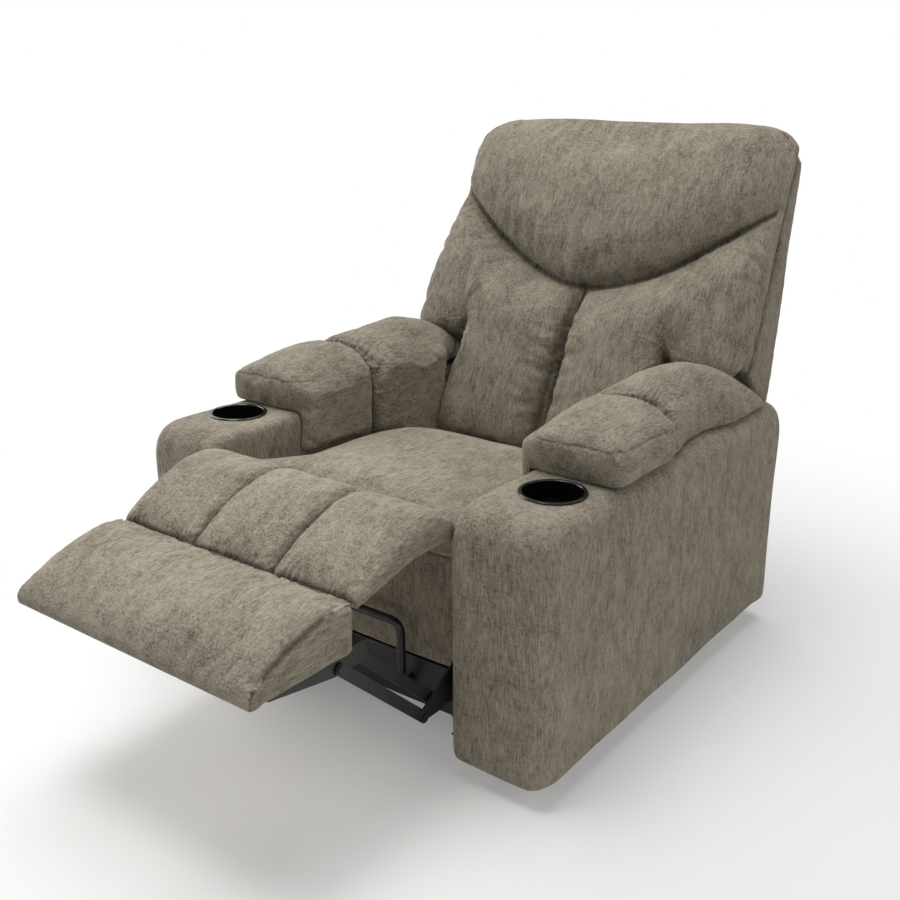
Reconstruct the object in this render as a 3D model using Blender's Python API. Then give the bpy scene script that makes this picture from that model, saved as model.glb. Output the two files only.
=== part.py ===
"""Power recliner with an open footrest, modelled piece by piece.

Metres, +Z up. The chair faces -Y, and +X is the sitter's left.
Places are given from the chair datum: the floor, the middle of the width and the arms' front plane.
The rest pose has the footrest out and the back let down part of the way.
"""
import math
import bmesh
import bpy
from mathutils import Vector

# Overall sizes
SEAT_OPENING = 0.552
ARM_WIDTH = 0.192
ARM_DEPTH = 0.907
ARM_RISE = 0.1115
ARM_FLOOR_GAP = 0.034
DATUM_Y = -0.334

# Clearances shared by all pieces
SEAM_GAP = 0.0003
RUNNING_GAP = 0.0012
PIVOT_GAP = 0.0005
OVERRUN = 0.01

# Arm upholstery
ARM_FRONT_TOP_ROUND = 0.052
ARM_REAR_TOP_ROUND = 0.040
ARM_BOTTOM_ROUND = 0.010
ARM_OUTER_ROUND = 0.034
ARM_REAR_TAKE = 0.4
ARM_INNER_ROUND = 0.012

# Cup holders
CUP_SETBACK = 0.155
CUP_WALL_RADIUS = 0.0530
CUP_RIM_RADIUS = 0.0575
CUP_RIM_HEIGHT = 0.0035
CUP_WALL = 0.0022
CUP_DEPTH = 0.072

# Arm pads
PAD_FRONT_START = 0.222
PAD_SPLIT = 0.438
PAD_REAR_END = 0.850
PAD_OUTER_INSET = 0.010
PAD_FRONT_RISE = 0.106
PAD_REAR_RISE = 0.122
PAD_END_DROP = 0.100
PAD_DROP_POWER = 3.4
PAD_SIDE_RISE = 0.062
PAD_REAR_SIDE_RISE = 0.056
PAD_SIDE_SWELL = 0.003
PAD_CORNER = 0.010
PAD_JOIN_SHARE = 0.68
PAD_DOME_POWER = 0.6
PAD_DRAPE_LIFT = 0.002
PAD_DRAPE_TAPER = 0.083
PAD_DRAPE_THICKNESS = 0.026
PAD_DRAPE_END = 0.660

# Power switch on the outer face of one arm
SWITCH_PLACE_Y = 0.240
SWITCH_DROP = 0.101
SWITCH_LENGTH = 0.092
SWITCH_HEIGHT = 0.044
SWITCH_DEPTH = 0.010
SWITCH_CORNER = 0.008
BUTTON_LENGTH = 0.034
BUTTON_HEIGHT = 0.026
BUTTON_SPACING = 0.042
BUTTON_DEPTH = 0.0045
BUTTON_TRAVEL = 0.0015
BUTTON_PROUD = 0.0005
BUTTON_CORNER = 0.005

# Steel base
GLIDE_RADIUS = 0.020
GLIDE_HEIGHT = 0.0137
GLIDE_INSET = 0.045
BASE_RAIL_INSET = 0.046
BASE_RAIL_WIDTH = 0.030
BASE_RAIL_HEIGHT = 0.040
BASE_WALL = 0.0025
BASE_FRONT_Y = 0.090
BASE_REAR_Y = 0.820
BASE_CROSS_DEPTH = 0.030
BASE_FRONT_HEIGHT = 0.090
BASE_REAR_HEIGHT = 0.030

# Bent steel stop hoop in front of the base
HOOP_TUBE_RADIUS = 0.008
HOOP_HALF_WIDTH = 0.125
HOOP_TOP_Z = 0.222
HOOP_FOOT_Z = 0.100
HOOP_STANDOFF = 0.030
HOOP_BEND = 0.024

# Seat frame
SIDE_PLATE_INSET = 0.008
PLATE_THICKNESS = 0.003
SIDE_PLATE_TOP = 0.3845
SIDE_PLATE_BEAM = 0.060
SIDE_PLATE_FRONT = 0.092
STAND_FRONT_Y = 0.300
STAND_REAR_Y = 0.610
STAND_WIDTH = 0.060
STAND_FOOT_REACH = 0.045
LOBE_DROP = 1.15
ARM_BOSS_RADIUS = 0.012
SEAT_RAIL_DEPTH = 0.022
SEAT_RAIL_HEIGHT = 0.044
SEAT_REAR_RAIL_Y = 0.630
SEAT_FALL = 0.034
SPRING_COUNT = 4
SPRING_WIRE_RADIUS = 0.00175
SPRING_SPACING = 0.110
SPRING_SWING = 0.022
SPRING_TURNS = 6
SPRING_SIDES = 8

# Fabric fascia under the seat front
FASCIA_SIDE_GAP = 0.0065
FASCIA_THICKNESS = 0.014
FASCIA_TOP_DROP = 0.0245
FASCIA_CROWN = 0.004

# Footrest linkage, side view as (y, z)
LINK_RADIUS = 0.010
LINK_THICKNESS = 0.003
PLANE_GAP = 0.0015
HEAD_SPACE = 0.004
PIN_RADIUS = 0.004
PIN_COLLAR_RADIUS = 0.007
PIN_HEAD = 0.002
FOLD_CENTRE_Y = -0.0725
FOLD_CENTRE_RISE = 0.0488
DRIVE_PIVOT_Y = 0.1218
DRIVE_PIVOT_DROP = 0.1293
GUIDE_PIVOT_AFT = 0.0448
GUIDE_PIVOT_DROP = 0.0046
LINK_REACH = 0.1275
LINK_DROP = 0.1113
OUTER_PIVOT_STEP = 0.050

# Drive tube and its crank
DRIVE_TUBE_RADIUS = 0.0125
DRIVE_TUBE_WALL = 0.0025
CRANK_LENGTH = 0.036
CRANK_RADIUS = 0.0105
CRANK_PLATE = 0.004

# Linear actuator
ACTUATOR_PIVOT_Y = 0.575
ACTUATOR_RAIL_WIDTH = 0.020
ACTUATOR_RAIL_HEIGHT = 0.024
ACTUATOR_RAIL_WALL = 0.0025
ACTUATOR_RAIL_OVERHANG = 0.013
ACTUATOR_SCREW_RADIUS = 0.004
SLIDER_LENGTH = 0.028
SLIDER_WALL = 0.0045
SLIDER_LUG_RISE = 0.040
GEARBOX_LENGTH = 0.060
GEARBOX_WIDTH = 0.050
GEARBOX_CORNER = 0.008
GEARBOX_HEIGHT = 0.046
GEARBOX_NOSE = 0.030
MOTOR_RADIUS = 0.019
MOTOR_LENGTH = 0.090
MOTOR_CAP = 0.006
ACTUATOR_CROSS_SIDE = 0.025
ACTUATOR_EAR = 0.004
ACTUATOR_TONGUE_WIDTH = 0.014

# Power inlet socket on the rear cross tube
INLET_PLACE_X = 0.150
INLET_WIDTH = 0.022
INLET_HEIGHT = 0.016
INLET_DEPTH = 0.018
INLET_BORE_RADIUS = 0.0040
INLET_BORE_DEPTH = 0.011
INLET_CONTACT_RADIUS = 0.0010
INLET_CONTACT_LENGTH = 0.008

# Footrest board and pads, side view as (y, z)
FOOT_SIDE_GAP = 0.0015
FOOT_FRONT_Y = -0.427
FOOT_SKIRT_DROP = 0.010
FOOT_FRONT_BAND = 0.016
FOOT_PAD_CROWN = 0.034
FOOT_SIDE_CROWN_SHARE = 0.5
MID_SEAM_Y = -0.2140
MID_SEAM_DROP = 0.0133
BOARD_SIDE_GAP = 0.0165
BOARD_DROP = 0.075
BOARD_THICKNESS = 0.012
BOARD_FRONT_Y = -0.405
BOARD_STEP_Y = -0.222
BOARD_REAR_Y = -0.085
BRACKET_FLANGE = 0.030
BRACKET_FRONT_Y = -0.390
BRACKET_REAR_Y = -0.188
LEG_PAD_THIN = 0.020
LEG_PAD_THICK = 0.0555
LEG_PAD_BOTTOM_LIFT = 0.0012
LEG_PAD_CROWN = 0.008
FLAP_END_Y = 0.0355
FLAP_CROWN_RISE = 0.0597
FLAP_END_RISE = 0.0247
CHANNEL_SINK = 0.010
CHANNEL_REACH = 0.022
FOOT_SIDE_DRAW = 0.014

# Seat cushion
SEAT_FRONT_RISE = 0.0765
SEAT_MIDDLE_RISE = 0.0625
SEAT_REAR_RISE = 0.0155
SEAT_REAR_LEVEL_SHARE = 0.7
SEAT_MIDDLE_Y = 0.340
SEAT_REAR_Y = 0.655
SEAT_WIDE_REAR_Y = 0.420
SEAT_SIDE_DROP = 0.055
SEAT_DROP_START_Y = 0.130
SEAT_BELLY_FRONT_Y = 0.150
SEAT_BELLY_REAR_Y = 0.605
SEAT_BELLY_SIDE_GAP = 0.0165
SEAT_TAIL_LENGTH = 0.055
SEAT_TAIL_SLOPE = 0.3
SEAT_TAIL_DROP = 0.9

# Back, drawn along its own slope
RECLINE_PIVOT_Y = 0.700
RECLINE_PIVOT_DROP = 0.0395
BACK_FOOT_Y = 0.735
BACK_FOOT_RISE = 0.075
BACK_SLOPE_DEG = 28.0
BACK_LENGTH = 0.711
BACK_WING_REACH = 0.124
BACK_LOWER_SIDE_GAP = 0.022
BACK_WING_STEP = 0.014
BACK_WING_CORNER = 0.0003
BACK_FLARE = 0.022
BACK_ARM_GAP = 0.0115
BACK_PANEL_REAR = 0.030
BACK_PANEL_THICKNESS = 0.012
BACK_PANEL_CORNER = 0.050
BACK_SHELL_TOP_DEPTH = 0.040
BACK_SHELL_FOOT_DEPTH = 0.205
BACK_SHELL_TUCK = 0.020
BACK_PAD_BULGE = 0.036
BACK_PAD_EDGE = 0.006
BACK_LUMBAR_FOOT = -0.060
BACK_LUMBAR_REAR_FOOT = -0.020
BACK_PANEL_FOOT = -0.062
SMILE_LOW = 0.300
SMILE_HIGH = 0.516
SMILE_POWER = 1.7
HEAD_BULGE = 0.040
HEAD_TOP = 0.711
BACK_BRACKET_LENGTH = 0.150
BACK_BRACKET_WIDTH = 0.040

# Places across one channel of a pad, and along the seat cushion's top and underside
CHANNEL_SHARES = (0.0, 0.06, 0.18, 0.5, 0.82, 0.94)
SEAT_TOP_SHARES = (0.0, 0.03, 0.10, 0.2, 0.32, 0.45, 0.58, 0.70, 0.82, 0.92, 0.98, 1.0)
SEAT_UNDER_SHARES = (0.995, 0.985, 0.975, 0.965, 0.955, 0.945, 0.9, 0.3, 0.2, 0.01)

# Round detail
PAD_DOME_STEPS = 7
ROUND_STEPS = 20
SMALL_ROUND_STEPS = 12
CORNER_STEPS = 4
SMOOTH_ANGLE_DEG = 40.0
FOLD_DEG = 86.0

# Values that follow from the sizes above
ARM_INNER = SEAT_OPENING / 2
ARM_OUTER = ARM_INNER + ARM_WIDTH
ARM_CENTRE = ARM_INNER + ARM_WIDTH / 2
ARM_HEIGHT = SIDE_PLATE_TOP + ARM_RISE
SWITCH_PLACE_Z = ARM_HEIGHT - SWITCH_DROP
BASE_RAIL_TOP = GLIDE_HEIGHT + SEAM_GAP + BASE_RAIL_HEIGHT
BASE_CROSS_Z = BASE_RAIL_TOP + SEAM_GAP
BASE_RAIL_X = ARM_INNER - BASE_RAIL_INSET
SIDE_PLATE_X = ARM_INNER - SIDE_PLATE_INSET
LINK_PLANE = SIDE_PLATE_X - PLANE_GAP - LINK_THICKNESS
INNER_PLANE = LINK_PLANE - HEAD_SPACE - LINK_THICKNESS
FASCIA_HALF_WIDTH = INNER_PLANE - FASCIA_SIDE_GAP
SEAT_BELLY_HALF_WIDTH = INNER_PLANE - SEAT_BELLY_SIDE_GAP
FOOT_HALF_WIDTH = ARM_INNER - FOOT_SIDE_GAP
BOARD_HALF_WIDTH = INNER_PLANE - BOARD_SIDE_GAP
BACK_HALF_WIDTH = ARM_INNER + BACK_WING_REACH
BACK_LOWER_HALF_WIDTH = ARM_INNER - BACK_LOWER_SIDE_GAP
FASCIA_TOP = SIDE_PLATE_TOP - FASCIA_TOP_DROP
DRIVE_PIVOT_Z = SIDE_PLATE_TOP - DRIVE_PIVOT_DROP
FOLD_CENTRE_Z = SIDE_PLATE_TOP + FOLD_CENTRE_RISE
MID_SEAM_Z = FOLD_CENTRE_Z - MID_SEAM_DROP
BOARD_Z = MID_SEAM_Z - BOARD_DROP
FOOT_SKIRT_Z = BOARD_Z - FOOT_SKIRT_DROP
FLAP_CROWN_Z = FOLD_CENTRE_Z + FLAP_CROWN_RISE
FLAP_END_Z = FOLD_CENTRE_Z + FLAP_END_RISE
SEAT_FRONT_TOP = SIDE_PLATE_TOP + SEAT_FRONT_RISE
SEAT_MIDDLE_TOP = SIDE_PLATE_TOP + SEAT_MIDDLE_RISE
SEAT_REAR_TOP = SIDE_PLATE_TOP - SEAT_FALL + SEAT_REAR_RISE
RECLINE_PIVOT_Z = SIDE_PLATE_TOP - RECLINE_PIVOT_DROP
BACK_FOOT_Z = RECLINE_PIVOT_Z + BACK_FOOT_RISE
ARM_CORNER_Y = ARM_DEPTH - ARM_REAR_TOP_ROUND - RECLINE_PIVOT_Y
ARM_CORNER_Z = ARM_HEIGHT - ARM_REAR_TOP_ROUND - RECLINE_PIVOT_Z
BACK_WING_CLEARANCE = math.hypot(ARM_CORNER_Y, ARM_CORNER_Z) + ARM_REAR_TOP_ROUND + BACK_ARM_GAP
FOLD_CENTRE = (FOLD_CENTRE_Y, FOLD_CENTRE_Z)
DRIVE_PIVOT = (DRIVE_PIVOT_Y, DRIVE_PIVOT_Z)
GUIDE_PIVOT = (DRIVE_PIVOT_Y + GUIDE_PIVOT_AFT, DRIVE_PIVOT_Z - GUIDE_PIVOT_DROP)
KNEE = (DRIVE_PIVOT_Y - LINK_REACH, DRIVE_PIVOT_Z - LINK_DROP)
GUIDE_KNEE = (KNEE[0] + GUIDE_PIVOT_AFT, KNEE[1] - GUIDE_PIVOT_DROP)
OUTER_KNEE = (KNEE[0] - OUTER_PIVOT_STEP, KNEE[1])
FOOT_PIVOT = (FOLD_CENTRE_Y - LINK_REACH, FOLD_CENTRE_Z - LINK_DROP)
OUTER_FOOT_PIVOT = (FOOT_PIVOT[0] - OUTER_PIVOT_STEP, FOOT_PIVOT[1])
CRANK_PIN = (DRIVE_PIVOT_Y, DRIVE_PIVOT_Z - CRANK_LENGTH)
ACTUATOR_PIVOT = (ACTUATOR_PIVOT_Y, CRANK_PIN[1] - SLIDER_LUG_RISE)
RECLINE_PIVOT = (RECLINE_PIVOT_Y, RECLINE_PIVOT_Z)
BACK_SLOPE = math.radians(BACK_SLOPE_DEG)
SEAT_RAIL_FRONT_Y = BASE_FRONT_Y + FASCIA_THICKNESS + SEAM_GAP
CUSHION_BOTTOM = SIDE_PLATE_TOP + SEAM_GAP
SPRING_Z = SIDE_PLATE_TOP - SEAT_RAIL_HEIGHT / 2 + SPRING_WIRE_RADIUS


def clear_scene():
    """Remove whatever the file starts with."""
    for item in list(bpy.data.objects):
        bpy.data.objects.remove(item, do_unlink=True)


def finish(name, colour, roughness, metallic=0.0):
    """A plain Principled material."""
    material = bpy.data.materials.new(name)
    material.use_nodes = True
    shader = material.node_tree.nodes["Principled BSDF"]
    shader.inputs["Base Color"].default_value = (*colour, 1.0)
    shader.inputs["Roughness"].default_value = roughness
    shader.inputs["Metallic"].default_value = metallic
    return material


def chenille(name):
    return finish(name + "_chenille", (0.215, 0.196, 0.150), 0.9)


def black_steel(name):
    return finish(name + "_black_steel", (0.012, 0.012, 0.013), 0.45)


def zinc_steel(name):
    return finish(name + "_zinc_steel", (0.42, 0.43, 0.44), 0.35, 1.0)


def black_plastic(name):
    return finish(name + "_black_plastic", (0.010, 0.010, 0.011), 0.4)


def plywood(name):
    return finish(name + "_plywood", (0.42, 0.29, 0.17), 0.7)


def pivot(name, place, parent=None):
    """An empty on a joint's axis, at (x, y, z) from the datum."""
    empty = bpy.data.objects.new(name, None)
    bpy.context.scene.collection.objects.link(empty)
    empty["place"] = place
    if parent is None:
        empty.location = place
    else:
        empty.parent = parent
        empty.location = Vector(place) - Vector(parent["place"])
    return empty


def hang(item, carrier):
    """Hang an object drawn in datum places on a pivot."""
    item.parent = carrier
    item.location = -Vector(carrier["place"])
    return item


def make(name, mesh_builder, material, carrier):
    """Turn a finished bmesh into a shaded object on its pivot."""
    bmesh.ops.recalc_face_normals(mesh_builder, faces=mesh_builder.faces)
    mesh = bpy.data.meshes.new(name)
    mesh_builder.to_mesh(mesh)
    mesh_builder.free()
    item = bpy.data.objects.new(name, mesh)
    bpy.context.scene.collection.objects.link(item)
    item.data.materials.append(material(name))
    mesh.shade_smooth()
    mesh.set_sharp_from_angle(angle=math.radians(SMOOTH_ANGLE_DEG))
    return hang(item, carrier)


def helper(name, mesh_builder, owner):
    """A hidden shape that cuts or joins its owner."""
    bmesh.ops.recalc_face_normals(mesh_builder, faces=mesh_builder.faces)
    mesh = bpy.data.meshes.new(name)
    mesh_builder.to_mesh(mesh)
    mesh_builder.free()
    item = bpy.data.objects.new(name, mesh)
    bpy.context.scene.collection.objects.link(item)
    item.hide_render = True
    item.display_type = "WIRE"
    item.parent = owner
    return item


def combine(owner, label, operation, mesh_builder):
    """Cut a shape out of an object, or weld one to it."""
    modifier = owner.modifiers.new(label, "BOOLEAN")
    modifier.operation = operation
    modifier.solver = "EXACT"
    modifier.object = helper(owner.name + "_" + label, mesh_builder, owner)
    return owner


def cut(owner, label, mesh_builder):
    return combine(owner, label, "DIFFERENCE", mesh_builder)


def weld(owner, label, mesh_builder):
    return combine(owner, label, "UNION", mesh_builder)


def add_loops(builder, loops):
    """Skin a row of like loops and cap both ends."""
    rings = [[builder.verts.new(point) for point in loop] for loop in loops]
    count = len(rings[0])
    for near, far in zip(rings, rings[1:]):
        for i in range(count):
            j = (i + 1) % count
            builder.faces.new((near[i], near[j], far[j], far[i]))
    builder.faces.new(list(reversed(rings[0])))
    builder.faces.new(rings[-1])
    return builder


def loft(loops):
    return add_loops(bmesh.new(), loops)


def side_prism(outline, x_from, x_to):
    """Extrude an outline of (y, z) points across the chair."""
    return loft([[(x, y, z) for y, z in outline] for x in (x_from, x_to)])


def box(low, high):
    outline = [(low[1], low[2]), (high[1], low[2]), (high[1], high[2]), (low[1], high[2])]
    return side_prism(outline, low[0], high[0])


def circle(centre, radius, steps=ROUND_STEPS):
    turns = [2 * math.pi * i / steps for i in range(steps)]
    return [(centre[0] + radius * math.cos(t), centre[1] + radius * math.sin(t)) for t in turns]


def hull(points):
    """Convex outline round a set of points, counter-clockwise."""
    ordered = sorted(set(points))

    def half(source):
        chain = []
        for p in source:
            while len(chain) > 1:
                (ax, ay), (bx, by) = chain[-2], chain[-1]
                if (bx - ax) * (p[1] - ay) - (by - ay) * (p[0] - ax) > 0:
                    break
                chain.pop()
            chain.append(p)
        return chain[:-1]

    return half(ordered) + half(ordered[::-1])


def link_outline(centres, radius):
    """A pressed link: the outline that wraps a circle round every pivot."""
    return hull([p for centre in centres for p in circle(centre, radius)])


def bent_link_outline(start, corner, end, radius):
    """A pressed link with an elbow, notched on the inside of its bend."""
    outline = link_outline((start, corner, end), radius)
    lengths = [math.dist(a, b) for a, b in zip(outline, outline[1:] + outline[:1])]
    longest = lengths.index(max(lengths))
    arm_one = (Vector(start) - Vector(corner)).normalized()
    arm_two = (Vector(end) - Vector(corner)).normalized()
    middle = (arm_one + arm_two).normalized()
    notch = Vector(corner) + middle * radius / abs(arm_one.cross(middle))
    return outline[:longest + 1] + [tuple(notch)] + outline[longest + 1:]


def rounded_box_outline(centre, length, height, corner):
    """A rectangle with round corners, for plates and cut-outs."""
    outline = []
    for quarter, (along, up) in enumerate(((1, 1), (-1, 1), (-1, -1), (1, -1))):
        corner_y = centre[0] + along * (length / 2 - corner)
        corner_z = centre[1] + up * (height / 2 - corner)
        for step in range(CORNER_STEPS + 1):
            turn = (quarter + step / CORNER_STEPS) * math.pi / 2
            outline.append((corner_y + corner * math.cos(turn), corner_z + corner * math.sin(turn)))
    return outline


def stepped_pins(side, centres, steps):
    """Turned pins along X. Steps are (distance from the middle, radius) pairs in order."""
    builder = bmesh.new()
    for centre in centres:
        loops = []
        for x, radius in steps:
            loops.append([(side * x, y, z) for y, z in circle(centre, radius, SMALL_ROUND_STEPS)])
        add_loops(builder, loops)
    return builder


def plain_pins(side, centres, radius, x_from, x_to):
    return stepped_pins(side, centres, ((x_from, radius), (x_to, radius)))


def rivets(side, centres, seat, through, outward=False):
    """A collar, a shank through the mating link and a head.

    seat is where the pin leaves its own link and through is the mating link's far face.
    """
    way = 1 if outward else -1
    near = seat - way * LINK_THICKNESS / 2
    shoulder = through - way * (LINK_THICKNESS + SEAM_GAP)
    head = through + way * SEAM_GAP
    steps = (
        (near, PIN_COLLAR_RADIUS), (shoulder, PIN_COLLAR_RADIUS),
        (shoulder, PIN_RADIUS), (head, PIN_RADIUS),
        (head, PIN_COLLAR_RADIUS), (head + way * PIN_HEAD, PIN_COLLAR_RADIUS),
    )
    return stepped_pins(side, centres, steps)


def fullness(distance, reach):
    """Rises from 0 at a seam to 1 one reach away, like stuffed cloth."""
    share = min(max(distance / reach, 0.0), 1.0)
    return math.sin(share * math.pi / 2)


def between(start, end, share):
    return start + (end - start) * share


# Steel base

def base_rail(side, name, root):
    """Open channel that runs front to back, with its mouth towards the middle."""
    outer = BASE_RAIL_X + BASE_RAIL_WIDTH / 2
    inner = BASE_RAIL_X - BASE_RAIL_WIDTH / 2
    bottom = GLIDE_HEIGHT + SEAM_GAP
    profile = [
        (outer, bottom), (outer, BASE_RAIL_TOP), (inner, BASE_RAIL_TOP),
        (inner, BASE_RAIL_TOP - BASE_WALL), (outer - BASE_WALL, BASE_RAIL_TOP - BASE_WALL),
        (outer - BASE_WALL, bottom + BASE_WALL), (inner, bottom + BASE_WALL), (inner, bottom),
    ]
    loops = [[(side * x, y, z) for x, z in profile] for y in (BASE_FRONT_Y, BASE_REAR_Y)]
    return make(name, loft(loops), black_steel, root)


def base_cross(name, y_from, height, root, mouth):
    """Open channel across the base, lying on both side rails."""
    reach = BASE_RAIL_X + BASE_RAIL_WIDTH / 2 - SEAM_GAP
    y_to = y_from + BASE_CROSS_DEPTH
    bottom = BASE_CROSS_Z
    top = bottom + height
    web, lip = (y_from, y_to) if mouth == "rear" else (y_to, y_from)
    inner_web = web + math.copysign(BASE_WALL, lip - web)
    profile = [
        (web, bottom), (web, top), (lip, top), (lip, top - BASE_WALL), (inner_web, top - BASE_WALL),
        (inner_web, bottom + BASE_WALL), (lip, bottom + BASE_WALL), (lip, bottom),
    ]
    return make(name, side_prism(profile, -reach, reach), black_steel, root)


def glide(name, side, y, root):
    """Turned plastic foot with a soft lower edge."""
    builder = bmesh.new()
    edge = GLIDE_HEIGHT / 4
    loops = []
    for z, radius in ((0.0, GLIDE_RADIUS - edge), (edge, GLIDE_RADIUS), (GLIDE_HEIGHT, GLIDE_RADIUS)):
        loops.append([(x, v, z) for x, v in circle((side * BASE_RAIL_X, y), radius)])
    return make(name, add_loops(builder, loops), black_plastic, root)


def round_path(corners, bend, steps):
    """Corner points joined by straight runs and round bends."""
    path = [Vector(corners[0])]
    for before, corner, after in zip(corners, corners[1:], corners[2:]):
        corner = Vector(corner)
        start = corner + (Vector(before) - corner).normalized() * bend
        end = corner + (Vector(after) - corner).normalized() * bend
        for i in range(steps + 1):
            share = i / steps
            path.append((1 - share) ** 2 * start + 2 * share * (1 - share) * corner + share ** 2 * end)
    path.append(Vector(corners[-1]))
    return path


def tube(name, path, radius, steps, material, carrier):
    """Round bar along a path, as a row of sections square to it."""
    loops = []
    side = None
    for i, place in enumerate(path):
        ahead = (path[min(i + 1, len(path) - 1)] - path[max(i - 1, 0)]).normalized()
        if side is None:
            side = ahead.orthogonal().normalized()
        side = (side - ahead * side.dot(ahead)).normalized()
        up = ahead.cross(side)
        loops.append([place + side * u + up * v for u, v in circle((0.0, 0.0), radius, steps)])
    return make(name, loft(loops), material, carrier)


def stop_hoop(root):
    """Bent tube that stands in front of the base, with both feet against the cross rail."""
    front = BASE_FRONT_Y - HOOP_STANDOFF
    foot = BASE_FRONT_Y - SEAM_GAP
    corners = [
        (-HOOP_HALF_WIDTH, foot, HOOP_FOOT_Z), (-HOOP_HALF_WIDTH, front, HOOP_FOOT_Z),
        (-HOOP_HALF_WIDTH, front, HOOP_TOP_Z), (HOOP_HALF_WIDTH, front, HOOP_TOP_Z),
        (HOOP_HALF_WIDTH, front, HOOP_FOOT_Z), (HOOP_HALF_WIDTH, foot, HOOP_FOOT_Z),
    ]
    path = round_path(corners, HOOP_BEND, CORNER_STEPS)
    return tube("stop_hoop", path, HOOP_TUBE_RADIUS, SMALL_ROUND_STEPS, black_steel, root)


def power_inlet(root):
    """Socket for a mains adapter's plug, on top of the rear cross tube."""
    z_low = BASE_CROSS_Z + BASE_REAR_HEIGHT + SEAM_GAP
    y_far = BASE_REAR_Y
    x_low = INLET_PLACE_X - INLET_WIDTH / 2
    body = box((x_low, y_far - INLET_DEPTH, z_low), (x_low + INLET_WIDTH, y_far, z_low + INLET_HEIGHT))
    item = make("power_inlet", body, black_plastic, root)
    centre = (INLET_PLACE_X, z_low + INLET_HEIGHT / 2)
    bore = []
    for y in (y_far - INLET_BORE_DEPTH, y_far + OVERRUN):
        bore.append([(x, y, z) for x, z in circle(centre, INLET_BORE_RADIUS, SMALL_ROUND_STEPS)])
    cut(item, "bore", loft(bore))
    contact = []
    base = y_far - INLET_BORE_DEPTH
    for y in (base - INLET_CONTACT_RADIUS, base + INLET_CONTACT_LENGTH):
        contact.append([(x, y, z) for x, z in circle(centre, INLET_CONTACT_RADIUS, SMALL_ROUND_STEPS)])
    return weld(item, "contact", loft(contact))


# Seat frame

def side_plate(side, name, root):
    """Pressed steel side: a beam under the seat, a front lobe for the links and two stands."""
    x_near, x_far = side * SIDE_PLATE_X, side * (SIDE_PLATE_X + PLATE_THICKNESS)
    beam_low = SIDE_PLATE_TOP - SIDE_PLATE_BEAM
    lobe = LINK_RADIUS * 2
    stand_front = STAND_FRONT_Y - STAND_WIDTH / 2
    stand_mid = STAND_FRONT_Y + STAND_WIDTH / 2
    stand_back = STAND_REAR_Y - STAND_WIDTH / 2
    stand_end = STAND_REAR_Y + STAND_WIDTH / 2
    foot = BASE_CROSS_Z
    brace = SIDE_PLATE_BEAM / 2
    ear = BACK_BRACKET_WIDTH / 2
    outline = [
        (SIDE_PLATE_FRONT, SIDE_PLATE_TOP), (SIDE_PLATE_FRONT, DRIVE_PIVOT_Z),
        (DRIVE_PIVOT_Y - lobe / 2, DRIVE_PIVOT_Z - lobe), (DRIVE_PIVOT_Y, DRIVE_PIVOT_Z - lobe * LOBE_DROP),
        (GUIDE_PIVOT[0], GUIDE_PIVOT[1] - lobe * LOBE_DROP), (GUIDE_PIVOT[0] + lobe / 2, GUIDE_PIVOT[1] - lobe),
        (GUIDE_PIVOT[0] + 2 * lobe, beam_low - brace), (stand_front, beam_low - brace),
        (stand_front, foot), (stand_mid, foot), (stand_mid, beam_low - brace),
        (stand_mid + brace, beam_low), (stand_back - brace, beam_low), (stand_back, beam_low - brace),
        (stand_back, foot), (stand_end, foot), (stand_end, beam_low - brace),
        (RECLINE_PIVOT_Y, RECLINE_PIVOT_Z - ear), (RECLINE_PIVOT_Y + ear, RECLINE_PIVOT_Z - ear / 2),
        (RECLINE_PIVOT_Y + ear, SIDE_PLATE_TOP - ear / 2), (RECLINE_PIVOT_Y + ear / 2, SIDE_PLATE_TOP),
    ]
    item = make(name, side_prism(outline, x_near, x_far), black_steel, root)
    for label, y in (("front_foot", stand_front), ("rear_foot", stand_back)):
        low = (side * (SIDE_PLATE_X - STAND_FOOT_REACH), y, foot)
        high = (side * (SIDE_PLATE_X + PLATE_THICKNESS / 2), y + STAND_WIDTH, foot + PLATE_THICKNESS)
        weld(item, label, box(low, high))
    bosses = ((STAND_FRONT_Y, beam_low + brace), (STAND_REAR_Y, beam_low + brace))
    outer_face = ARM_INNER - SEAM_GAP
    boss = plain_pins(side, bosses, ARM_BOSS_RADIUS, SIDE_PLATE_X + PLATE_THICKNESS / 2, outer_face)
    weld(item, "arm_bosses", boss)
    pins = (DRIVE_PIVOT, GUIDE_PIVOT, RECLINE_PIVOT)
    return weld(item, "pins", rivets(side, pins, SIDE_PLATE_X, LINK_PLANE))


def seat_rail(name, y_from, top, reach, root):
    """Wooden rail between the side plates that holds the springs."""
    low = (-reach, y_from, top - SEAT_RAIL_HEIGHT)
    high = (reach, y_from + SEAT_RAIL_DEPTH, top)
    return make(name, box(low, high), plywood, root)


def seat_fall(y):
    """Fall of the springs and the cushion's underside from the front rail to the rear rail."""
    start = SEAT_RAIL_FRONT_Y + SEAT_RAIL_DEPTH
    return SEAT_FALL * min(max((y - start) / (SEAT_REAR_RAIL_Y - start), 0.0), 1.0)


def seat_spring(name, x, root):
    """Zigzag wire from the front rail to the rear rail."""
    start = SEAT_RAIL_FRONT_Y + SEAT_RAIL_DEPTH + SEAM_GAP
    end = SEAT_REAR_RAIL_Y - SEAM_GAP
    count = SPRING_TURNS * 8
    path = []
    for i in range(count + 1):
        share = i / count
        sway = SPRING_SWING * math.sin(2 * math.pi * SPRING_TURNS * share) * (1 < i < count - 1)
        y = between(start, end, share)
        path.append(Vector((x + sway, y, SPRING_Z - seat_fall(y))))
    return tube(name, path, SPRING_WIRE_RADIUS, SPRING_SIDES, zinc_steel, root)


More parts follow.
